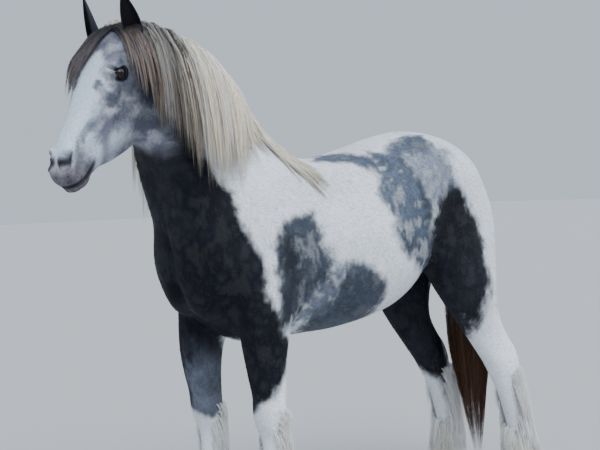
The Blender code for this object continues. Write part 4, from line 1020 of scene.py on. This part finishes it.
def strands(paths, normals, rng, per, width, depth, thick, tip, root=1.0, rings=7):
    """Fills each lock's path with fine strands that gather towards its tip."""
    paths, normals = eased(paths, rings), unit(eased(normals, rings))
    along = unit(np.gradient(paths, axis=1))
    aside = unit(np.cross(along, normals))
    count = len(paths)
    share = np.linspace(0, 1, rings)
    a = rng.uniform(-1, 1, (count, per, 1))
    b = rng.uniform(0, 1, (count, per, 1))
    reach = rng.uniform(0.78, 1.04, (count, per, 1))
    gather = root + (1 - root) * smooth(0, 0.3, share) - (1 - tip) * smooth(0.35, 1.0, share)
    gather = gather[None, None, :]
    wide = np.asarray(width).reshape(-1, 1, 1) / 2
    sweep = share[None, None, :] * reach
    spot = sweep * (rings - 1)
    i = np.clip(spot.astype(int), 0, rings - 2)
    f = (spot - i)[..., None]
    rows = np.arange(count)[:, None, None]
    middle, across, out = (
        each[rows, i] * (1 - f) + each[rows, i + 1] * f for each in (paths, aside, normals)
    )
    phase = rng.uniform(0, 6.28, (count, per, 1))
    bend = STRAND_WAVE * np.sin(phase + sweep * rng.uniform(3, 7, (count, per, 1))) * share
    line = middle + across * (a * wide * gather + bend)[..., None]
    line = line + out * (b * depth * gather + 0.5 * bend)[..., None]
    line = line.reshape(-1, rings, 3)
    flat = line[:, 1:].reshape(-1, 3)
    for _ in range(2):
        short = 0.002 - firm_field(flat)
        push = short > 0
        flat[push] += slope_of(flat[push], firm_field) * short[push][:, None]
    flat[:, 2] = np.maximum(flat[:, 2], FLOOR_GAP * 0.5)
    line[:, 1:] = flat.reshape(len(line), rings - 1, 3)
    size = np.full(len(line), thick) * rng.uniform(0.7, 1.3, len(line))
    return line, size


def strand_mesh(name, line, size, base, end, root_uv):
    """Closed three-sided strands that taper to a point, coloured from root to end."""
    count, rings, _ = line.shape
    along = unit(np.gradient(line, axis=1))
    normal = slope_of(line[:, 1], firm_field)[:, None, :]
    aside = unit(np.cross(along, normal))
    out = np.cross(aside, along)
    taper = (1 - 0.85 * np.linspace(0, 1, rings) ** 1.6)[None, :, None]
    half = size[:, None, None] / 2 * taper
    ring = np.stack((line - aside * half, line + aside * half, line + out * half * 0.6), 2)[:, :-1]
    points = np.concatenate((ring.reshape(count, -1, 3), line[:, -1:]), 1)
    per = points.shape[1]
    tip = per - 1
    quads, ends = [], [(0, 2, 1)]
    for k in range(rings - 2):
        for j in range(3):
            n = (j + 1) % 3
            quads.append((3 * k + j, 3 * k + n, 3 * k + 3 + n, 3 * k + 3 + j))
    last = 3 * (rings - 2)
    ends += [(last + j, last + (j + 1) % 3, tip) for j in range(3)]
    first = (np.arange(count) * per)[:, None, None]
    faces = [(first + np.array(group)).reshape(-1, len(group[0])) for group in (quads, ends)]
    share = np.append(np.repeat(np.linspace(0, 1, rings)[:-1], 3), 1.0)
    blend = smooth(0.1, 0.8, share)[None, :, None]
    tint = (base[:, None] * (1 - blend) + end[:, None] * blend).reshape(-1, 3)
    spread_uv = np.stack((np.append(np.tile((0, 1, 2), rings - 1) / 2 - 0.5, 0), share - 0.5), 1)
    uv = (root_uv[:, None, :] + UV_PATCH * spread_uv[None]).reshape(-1, 2)
    return made(name, points.reshape(-1, 3), faces, tint, uv)


def dressed(name, line, size, base, end, uv, rng, tones):
    """The mesh of some strands, each one a little lighter or darker than the next."""
    tone = rng.uniform(*tones, (len(line), 1))
    return strand_mesh(name, line, size, base * tone, end * tone, uv)


def unwrap(p, centre, rows, length, start=0.0):
    """Place on an unwrapped cylinder round an axis: along it, and round it."""
    u, v, w = ((p - centre) @ np.array(rows).T).T
    along, around = np.clip((u - start) / length, 0, 1), np.arctan2(w, v) / 2 / math.pi + 0.5
    return np.stack((along, around), 1) * 0.98 + 0.01


# The crest beyond the neck's own stations, over the poll: share of its length, x and z
POLL_LINE = ((0.85, 0.905, 1.872), (0.90, 0.945, 1.880), (0.96, 0.985, 1.886))
# Length of the mane from the withers, 0, to the poll, 0.96, on each side
MANE_NEAR = (
    (0.15, 0.24), (0.24, 0.36), (0.30, 0.36), (0.42, 0.26), (0.50, 0.38), (0.58, 0.50),
    (0.70, 0.57), (0.78, 0.56), (0.83, 0.42), (0.96, 0.36),
)
MANE_FAR = (
    (0.15, 0.24), (0.25, 0.34), (0.45, 0.36), (0.62, 0.46), (0.67, 0.64), (0.70, 0.68),
    (0.735, 0.42), (0.84, 0.28), (0.96, 0.22),
)
MANE_SIDE = 0.285  # the mane hangs no farther to the side
# Each mane: its side, locks, strands in a lock, and its part of the crest
MANES = (
    ("mane_near_low", 1, 76, 44, 0.20, 0.56),
    ("mane_near_top", 1, 112, 48, 0.50, 0.92),
    ("mane_far", -1, 100, 48, 0.15, 0.96),
)
MANE_WHITE = (0.95, 0.95, 0.93)


def crest_roots(u, aside, side):
    """Points beside the top of the neck and poll."""
    t = NECK_FORM.table
    own = np.linspace(0, 0.78, 30)
    local = np.stack((own, np.interp(own, t[:, 0], t[:, 1]), 0 * own), 1)
    line = local @ NECK_AXES + NECK_BASE
    poll = np.array(POLL_LINE)
    own = np.append(own, poll[:, 0])
    x = np.interp(u, own, np.append(line[:, 0], poll[:, 1]))
    z = np.interp(u, own, np.append(line[:, 2], poll[:, 2]))
    return settle(np.stack((x, side * aside, z), 1), 4)


def mane(name, side, count, per, low, high, rng):
    """Locks that hang from the crest to one side, and lie back over the withers."""
    sizes = np.array(MANE_NEAR if side > 0 else MANE_FAR)
    u = np.sort(rng.uniform(low, high, count))
    roots = crest_roots(u, rng.uniform(-0.006, 0.028, count), side)
    back = smooth(0.53, 0.43, u)
    starts = np.stack((-0.12 - 0.9 * back, side * (1.0 - 0.15 * back), 0.45 - 2.05 * back), 1)
    starts += rng.normal(0, 0.09, starts.shape)
    lengths = np.interp(u, sizes[:, 0], sizes[:, 1]) * rng.uniform(0.80, 1.22, count)
    lift = rng.uniform(0.004, 0.026, count) * (1 - 0.65 * back)
    paths, normals = drape(roots, starts, lengths, lift, fall=0.55 - 0.36 * back)
    paths[..., 1] = np.clip(paths[..., 1], -MANE_SIDE, MANE_SIDE)
    wide = 0.050 - 0.018 * back
    line, size = strands(
        paths, normals, rng, per, wide, depth=0.008, thick=0.0023, tip=0.28, root=1.4
    )
    root = line[:, 0]
    streak = noise(root, 0.03, 21) * 0.5 + noise(root, 0.008, 22) * 0.5
    poll = smooth(0.71, 0.79, np.repeat(u, per) + 0.06 * streak) * (1 if side > 0 else 0.2)
    base = flecked(CREAM, MANE_WHITE, root, 0.05, 23, 0.25, 0.6, 0.9)
    base = flecked(base, TAN, root, 0.02, 24, 0, 0.3, 0.2)
    grey = mixed(ROAN, BLUE, np.clip(0.78 + streak, 0, 1))
    base = mixed(base, grey, poll * np.clip(0.80 + 0.5 * streak, 0, 1))
    end = flecked(base, TAN, root, 0.06, 25, -0.05, 0.6, 0.3)
    end = mixed(end, TAN, poll * np.clip(0.05 + 0.9 * streak, 0, 0.5))
    uv = unwrap(root, NECK_BASE, NECK_AXES, length=1.0)
    return dressed(name, line, size, base, end, uv, rng, (0.94, 1.14))


def forelock(rng, count=70, per=44):
    """Hair from between the ears that parts to both sides of the forehead."""
    w = np.linspace(-0.034, 0.034, count) + rng.uniform(-0.003, 0.003, count)
    local = np.stack((rng.uniform(-0.015, 0.035, count), np.zeros(count), w), 1)
    roots = settle(from_head(local), 4)
    near = w > -0.004
    starts = np.where(
        near[:, None],
        np.stack((np.full(count, 0.10), np.full(count, 0.12), 1.0 + w * 2), 1),
        np.stack((np.full(count, 1.0), np.full(count, 0.25), -0.38 + w * 10), 1),
    )
    starts = starts + rng.normal(0, 0.05, starts.shape)
    lengths = np.where(near, 0.34, 0.31) * rng.uniform(0.70, 1.08, count)
    lift = rng.uniform(0.004, 0.020, count)
    fall = np.where(near, 0.42, 0.60)
    paths, normals = drape(roots, starts @ HEAD_AXES, lengths, lift, fall)
    wide = np.where(near, 0.017, 0.026)
    line, size = strands(
        paths, normals, rng, per, wide, depth=0.007, thick=0.0014, tip=0.2, root=1.3
    )
    root = line[:, 0]
    base = flecked(ROAN, BLUE, root, 0.01, 31, 0.85, 0.4)
    light = mixed(ROAN, TAN, rng.uniform(0.0, 0.8, len(line)))
    end = np.where(np.repeat(near, per)[:, None], light, light * 0.45 + np.array(GREY) * 0.55)
    uv = unwrap(root, from_head((0, -0.1, 0)), HEAD_AXES, length=0.4, start=-0.1)
    return dressed("forelock", line, size, base, end, uv, rng, (0.80, 1.12))


# Tiers of feather: from and to this height, how far round from the back in degrees, length, locks
FEATHER_TIERS = (
    (0.140, 0.225, 180.0, 0.13, 96),
    (0.215, 0.325, 102.0, 0.16, 84),
    (0.310, 0.400, 90.0, 0.12, 64),
    (0.380, 0.460, 80.0, 0.06, 50),
)
FEATHER_WHITE = (0.92, 0.93, 0.94)


def feather(name, rng, per=16):
    """Long hair round a leg from below the knee or hock to the hoof."""
    heights, angles, lengths = [], [], []
    for low, high, arc, length, count in FEATHER_TIERS:
        heights.append(rng.uniform(low, high, count))
        angles.append(180 + rng.uniform(-arc, arc, count))
        lengths.append(length * rng.uniform(0.75, 1.15, count))
    z, angle, length = (np.concatenate(x) for x in (heights, angles, lengths))
    z = z + (0.03 if name.startswith("hind") else 0.0)
    angle = np.radians(angle)
    around = np.stack((np.cos(angle), np.sin(angle), np.zeros(len(z))), 1)
    roots = settle(np.stack([leg_middle(name, h) for h in z]) + around * 0.03, 5)
    starts = around * 0.7 + np.array((-0.15, 0.0, -1.0)) + rng.normal(0, 0.12, (len(z), 3))
    length = np.minimum(length, (z - FLOOR_GAP) * 1.1)
    lift = rng.uniform(0.003, 0.024, len(z)) * np.interp(z, (0.20, 0.42), (1.0, 0.25))
    paths, normals = drape(roots, starts, length, lift, fall=0.40)
    line, size = strands(
        paths, normals, rng, per, 0.046, depth=0.012, thick=0.0018, tip=0.40, root=1.2
    )
    root = line[:, 0]
    low = smooth(0.30, 0.10, root[:, 2])
    base = flecked(FEATHER_WHITE, CREAM, root, 0.03, 41, 0.12, 0.4)
    end = flecked(base, STAIN, root, 0.02, 42, 0.02 + 0.75 * low, 0.25, 0.9)
    uv = unwrap(root, leg_middle(name, 0.0), UPRIGHT, length=0.6)
    return dressed(f"{name}_feather", line, size, base, end, uv, rng, (0.90, 1.12))


# How much wider the tail's hair is than its solid, at these heights
TAIL_FLARE = ((0.2, 0.4, 0.6, 1.0), (1.7, 1.6, 1.35, 1.1))
TAIL_SWAY = 0.042  # its lower part hangs this far to the right


def tail(rng, count=150, per=26, rings=9):
    """Locks from the dock that fill the tail's own outline."""
    t = spread([(i, *row) for i, row in enumerate(TAIL_LINE)], 60)
    top = rng.uniform(0, 0.22, count)
    bottom = rng.uniform(0.78, 1.0, count)
    angle = rng.uniform(0, 2 * math.pi, count)
    c, s = np.cos(angle)[:, None], np.sin(angle)[:, None]
    out = rng.uniform(0.15, 1.0, count) ** 0.5
    steps = np.linspace(0, 1, rings)
    spot = (top[:, None] + (bottom - top)[:, None] * steps) * (len(t) - 1)
    x, z, wide, deep = (np.interp(spot, np.arange(len(t)), t[:, k]) for k in (1, 2, 3, 4))
    r = out[:, None] * (0.75 + 0.25 * smooth(0, 0.25, steps)[None])
    across = s * wide * r * np.interp(z, *TAIL_FLARE) - TAIL_SWAY * smooth(1.15, 0.75, z)
    path = np.stack((x + c * deep * r, across, z), 2)
    normals = np.broadcast_to(np.stack((c, s, 0 * s), 2), path.shape)
    line, size = strands(
        path, normals, rng, per, 0.026, depth=0.008, thick=0.0018, tip=0.4, rings=rings
    )
    root = line[:, 0]
    base = flecked(TAIL_BROWN, BLACK, root, 0.03, 51, 0.35, 0.5)
    end = flecked(TAIL_BROWN, TAN, root, 0.02, 52, 0.04, 0.2)
    uv = unwrap(root, (-0.70, 0, 1.35), ((0, 0, -1), (1, 0, 0), (0, 1, 0)), length=0.5)
    return dressed("tail_hair", line, size, base, end, uv, rng, (0.75, 1.35))


def tufts(skin, rng, count=11000):
    """Short fur that breaks the outline, over the whole body, smaller on the face."""
    p = coordinates(skin) - MIDDLE
    pick = p[rng.choice(len(p), min(len(p), count * 4), replace=False)]
    h = to_head(pick)
    on_face = near_head(pick)
    keep = rng.random(len(pick)) < np.where(on_face, 0.16, 0.9)
    keep &= ~((h[:, 0] > 0.50) & on_face) & (pick[:, 2] > 0.09)
    keep &= ~near_place(pick, EYE_CENTRE, 0.045)
    pick, on_face = pick[keep][:count], on_face[keep][:count]
    normal = slope_of(pick)
    way = np.where(on_face[:, None], HEAD_AXES[0] * 0.5 - HEAD_AXES[1], (-0.8, 0, -0.8))
    way = np.where((pick[:, 2] < 0.75)[:, None], (-0.25, 0, -1.0), way)
    way = lie(pick, normal, way) + normal * rng.uniform(0.06, 0.20, (len(pick), 1))
    long = np.where(on_face, 0.006, 0.011) * rng.uniform(0.7, 1.4, len(pick))
    steps = np.array((-0.2, 0.5, 1.0))
    line = pick[:, None] + way[:, None] * long[:, None, None] * steps[None, :, None]
    line[:, 2] -= normal * (long * 0.12)[:, None]
    colour = body_colour(pick) * rng.uniform(0.92, 1.12, (len(pick), 1))
    uv = unwrap(pick, (0, 0, 1.08), LEVEL, length=2.4, start=-1.0)
    return strand_mesh("fur", line, np.where(on_face, 0.0012, 0.0020), colour, colour, uv)


# Ears, eyes and hooves

IRIS, PUPIL, EYE_EDGE = (0.008, 0.004, 0.003), (0.001, 0.001, 0.001), (0.012, 0.008, 0.007)
HORN_PALE, HORN_DARK = (0.16, 0.13, 0.10), (0.05, 0.045, 0.04)


def ear(side, rings=28, wrap_steps=20):
    """A cup of even wall, wrapped less and less from its foot to its tip."""
    foot, (aim, face, across) = ear_frame(side)
    foot = foot - aim * EAR_SINK
    shape = spread(EAR_SHAPE, 80)
    rows = []
    for share in np.linspace(0, 1, rings):
        wide = np.interp(share, shape[:, 0], shape[:, 1])
        wrap = math.radians(np.interp(share, shape[:, 0], shape[:, 2]))
        wall = min(EAR_WALL, wide * 0.6)
        angle = np.linspace(-wrap, wrap, wrap_steps)
        curve = foot + aim * EAR_LENGTH * share + face * 0.012 * math.sin(math.pi * share)
        outer = -np.cos(angle)[:, None] * face * wide * 0.8 + np.sin(angle)[:, None] * across * wide
        rows.append(np.concatenate((curve + outer, curve + outer[::-1] * (1 - wall / wide))))
    points, faces = tube_mesh(rows)
    tone = np.tile(np.repeat((mixed(BLUE, ROAN, [0.1])[0], BLACK), wrap_steps, 0), (rings, 1))
    return made(f"ear_{side}", points, grouped(faces, 4), tone)


def eye(side):
    """A ball with a dark brown iris, a wide pupil and a paler edge."""
    bm = bmesh.new()
    bmesh.ops.create_uvsphere(bm, u_segments=48, v_segments=32, radius=EYE_RADIUS * HEAD_SCALE)
    points = np.array([v.co for v in bm.verts])
    faces = [[v.index for v in f.verts] for f in bm.faces]
    bm.free()
    flip = np.array((1, 1, side))
    rows = (EYE_AXES * flip) @ HEAD_AXES
    a, b, out = points.T / (EYE_RADIUS * HEAD_SCALE)
    pupil = smooth(0.40, 0.28, np.hypot(a * 0.62, b)) * (out > 0)
    colour = mixed(IRIS, PUPIL, pupil)
    colour = mixed(colour, EYE_EDGE, smooth(0.62, 0.75, np.hypot(a, b)))
    points = points @ rows + from_head(flip * EYE_CENTRE)
    return made(f"eye_{side}", points, grouped(faces, 3, 4), colour)


def hoof(name, sides=40):
    """The horn from its sole to the coronet, with fine rings round it."""
    sole, coronet = hoof_frame(name)
    angle = np.linspace(0, 2 * math.pi, sides, endpoint=False)
    c, s = np.cos(angle), np.sin(angle)
    heel = np.where(c < 0, 0.86, 1.0) * np.where(c < -0.8, 0.97, 1.0)
    slope = math.tan(math.radians(HOOF_SLOPE))
    rows = [np.tile((*sole[:2], 0.004), (sides, 1))]
    for share, grow in HOOF_RINGS:
        middle = sole + (coronet - sole) * share
        long = SOLE_RADII[0] + (CORONET_RADII[0] - SOLE_RADII[0]) * share
        wide = SOLE_RADII[1] + (CORONET_RADII[1] - SOLE_RADII[1]) * share
        ripple = 1 + 0.004 * math.sin(share * 40)
        x = middle[0] + c * long * heel * grow * ripple
        y = middle[1] + s * wide * grow * ripple
        z = share * (HOOF_HEIGHT - 0.0005 + (x - coronet[0]) * slope)
        rows.append(np.stack((x, y, z), 1))
    rows.append(np.tile((*coronet[:2], HOOF_HEIGHT * 0.9), (sides, 1)))
    points, faces = tube_mesh(rows)
    tone = flecked(HORN_PALE, HORN_DARK, points * (1, 1, 0.1), 0.006, 61, 0.5, 1.0)
    return made(f"{name}_horn", points, grouped(faces, 4), tone)


# Stage, light and camera

CAMERA_AT = (3.7765, 4.5865, 1.2698)
CAMERA_TURN = (-2.23307, -0.02530, -0.03743)  # yaw, pitch, roll in radians
LENS, SENSOR = 90.0, 36.0
SKY, SKY_STRENGTH = (0.78, 0.87, 1.0, 1), 0.78
# Each soft light: its strength, its turn and its breadth in degrees
LIGHTS = {"key": (2.1, (40, 0, 155), 40), "rim": (1.4, (50, 0, 225), 50)}
LIGHT_COLOUR = (0.93, 0.97, 1.0)
FLOOR, FLOOR_SIDE = (0.50, 0.51, 0.52, 1), 60.0


def camera():
    data = bpy.data.cameras.new("camera")
    data.lens, data.sensor_width = LENS, SENSOR
    obj = linked("camera", data)
    yaw, pitch, roll = CAMERA_TURN
    c = math.cos(pitch)
    d = np.array((c * math.cos(yaw), c * math.sin(yaw), math.sin(pitch)))
    r = unit(np.cross(d, (0, 0, 1)))
    u = np.cross(r, d)
    right = math.cos(roll) * r + math.sin(roll) * u
    up = -math.sin(roll) * r + math.cos(roll) * u
    place = Matrix([(*row, 0) for row in np.stack((right, up, -d), 1)] + [(0, 0, 0, 1)])
    place.translation = np.array(CAMERA_AT) + MIDDLE
    obj.matrix_world = place
    bpy.context.scene.camera = obj


def surroundings():
    """A pale sky, two soft lights and a plain floor."""
    world = bpy.data.worlds.new("sky")
    bpy.context.scene.world = world
    world.use_nodes = True
    sky = world.node_tree.nodes["Background"]
    sky.inputs["Color"].default_value = SKY
    sky.inputs["Strength"].default_value = SKY_STRENGTH
    for name, (strength, turn, breadth) in LIGHTS.items():
        data = bpy.data.lights.new(name, "SUN")
        data.energy, data.color, data.angle = strength, LIGHT_COLOUR, math.radians(breadth)
        linked(name, data).rotation_euler = [math.radians(t) for t in turn]
    mat = bpy.data.materials.new("floor")
    mat.use_nodes = True
    shader = mat.node_tree.nodes["Principled BSDF"]
    shader.inputs["Base Color"].default_value = FLOOR
    shader.inputs["Roughness"].default_value = 0.8
    corners = np.array(((-1, -1, 0), (1, -1, 0), (1, 1, 0), (-1, 1, 0))) * FLOOR_SIDE
    floor = made("floor", corners, [np.array([(0, 1, 2, 3)])])
    floor.data.materials.append(mat)


def dress(obj, finish, slot, *solids):
    """Gives a piece its material, and hides the solids that it stands for. The slot is not used."""
    obj.data.materials.append(finish)
    if solids:
        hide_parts(*solids)
    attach(obj, "root")


def main():
    rng = np.random.default_rng(SEED)
    skin = skin_piece()
    coat = material("coat", 0.62, bump=0.35, grain=260, stretch=(0.35, 1, 0.6), shine=0.13)
    flesh = [f"{name}_{part}" for name in LEGS for part in ("upper", "lower")]
    dress(skin, coat, "coat", "torso", "neck", "head", *flesh)
    hair = material("hair", 0.42, grain=900, shine=0.45)
    for row in MANES:
        dress(mane(*row, rng), hair, "mane")
    dress(forelock(rng), hair, "mane")
    for name in LEGS:
        dress(feather(name, rng), hair, "feather")
    dress(tail(rng), hair, "tail", "tail")
    dress(tufts(skin, rng), hair, "coat")
    felt = material("ear", 0.7, bump=0.2)
    wet = material("eye", 0.16, shine=0.35)
    horn = material("hoof", 0.45, bump=0.15, grain=300, stretch=(1, 1, 0.1))
    for side, word in ((1, "left"), (-1, "right")):
        dress(ear(side), felt, "ear", f"ear_{word}")
        dress(eye(side), wet, "eye", f"eye_{word}")
    for name in LEGS:
        dress(hoof(name), horn, "hoof", f"{name}_hoof")
    surroundings()
    camera()


main()
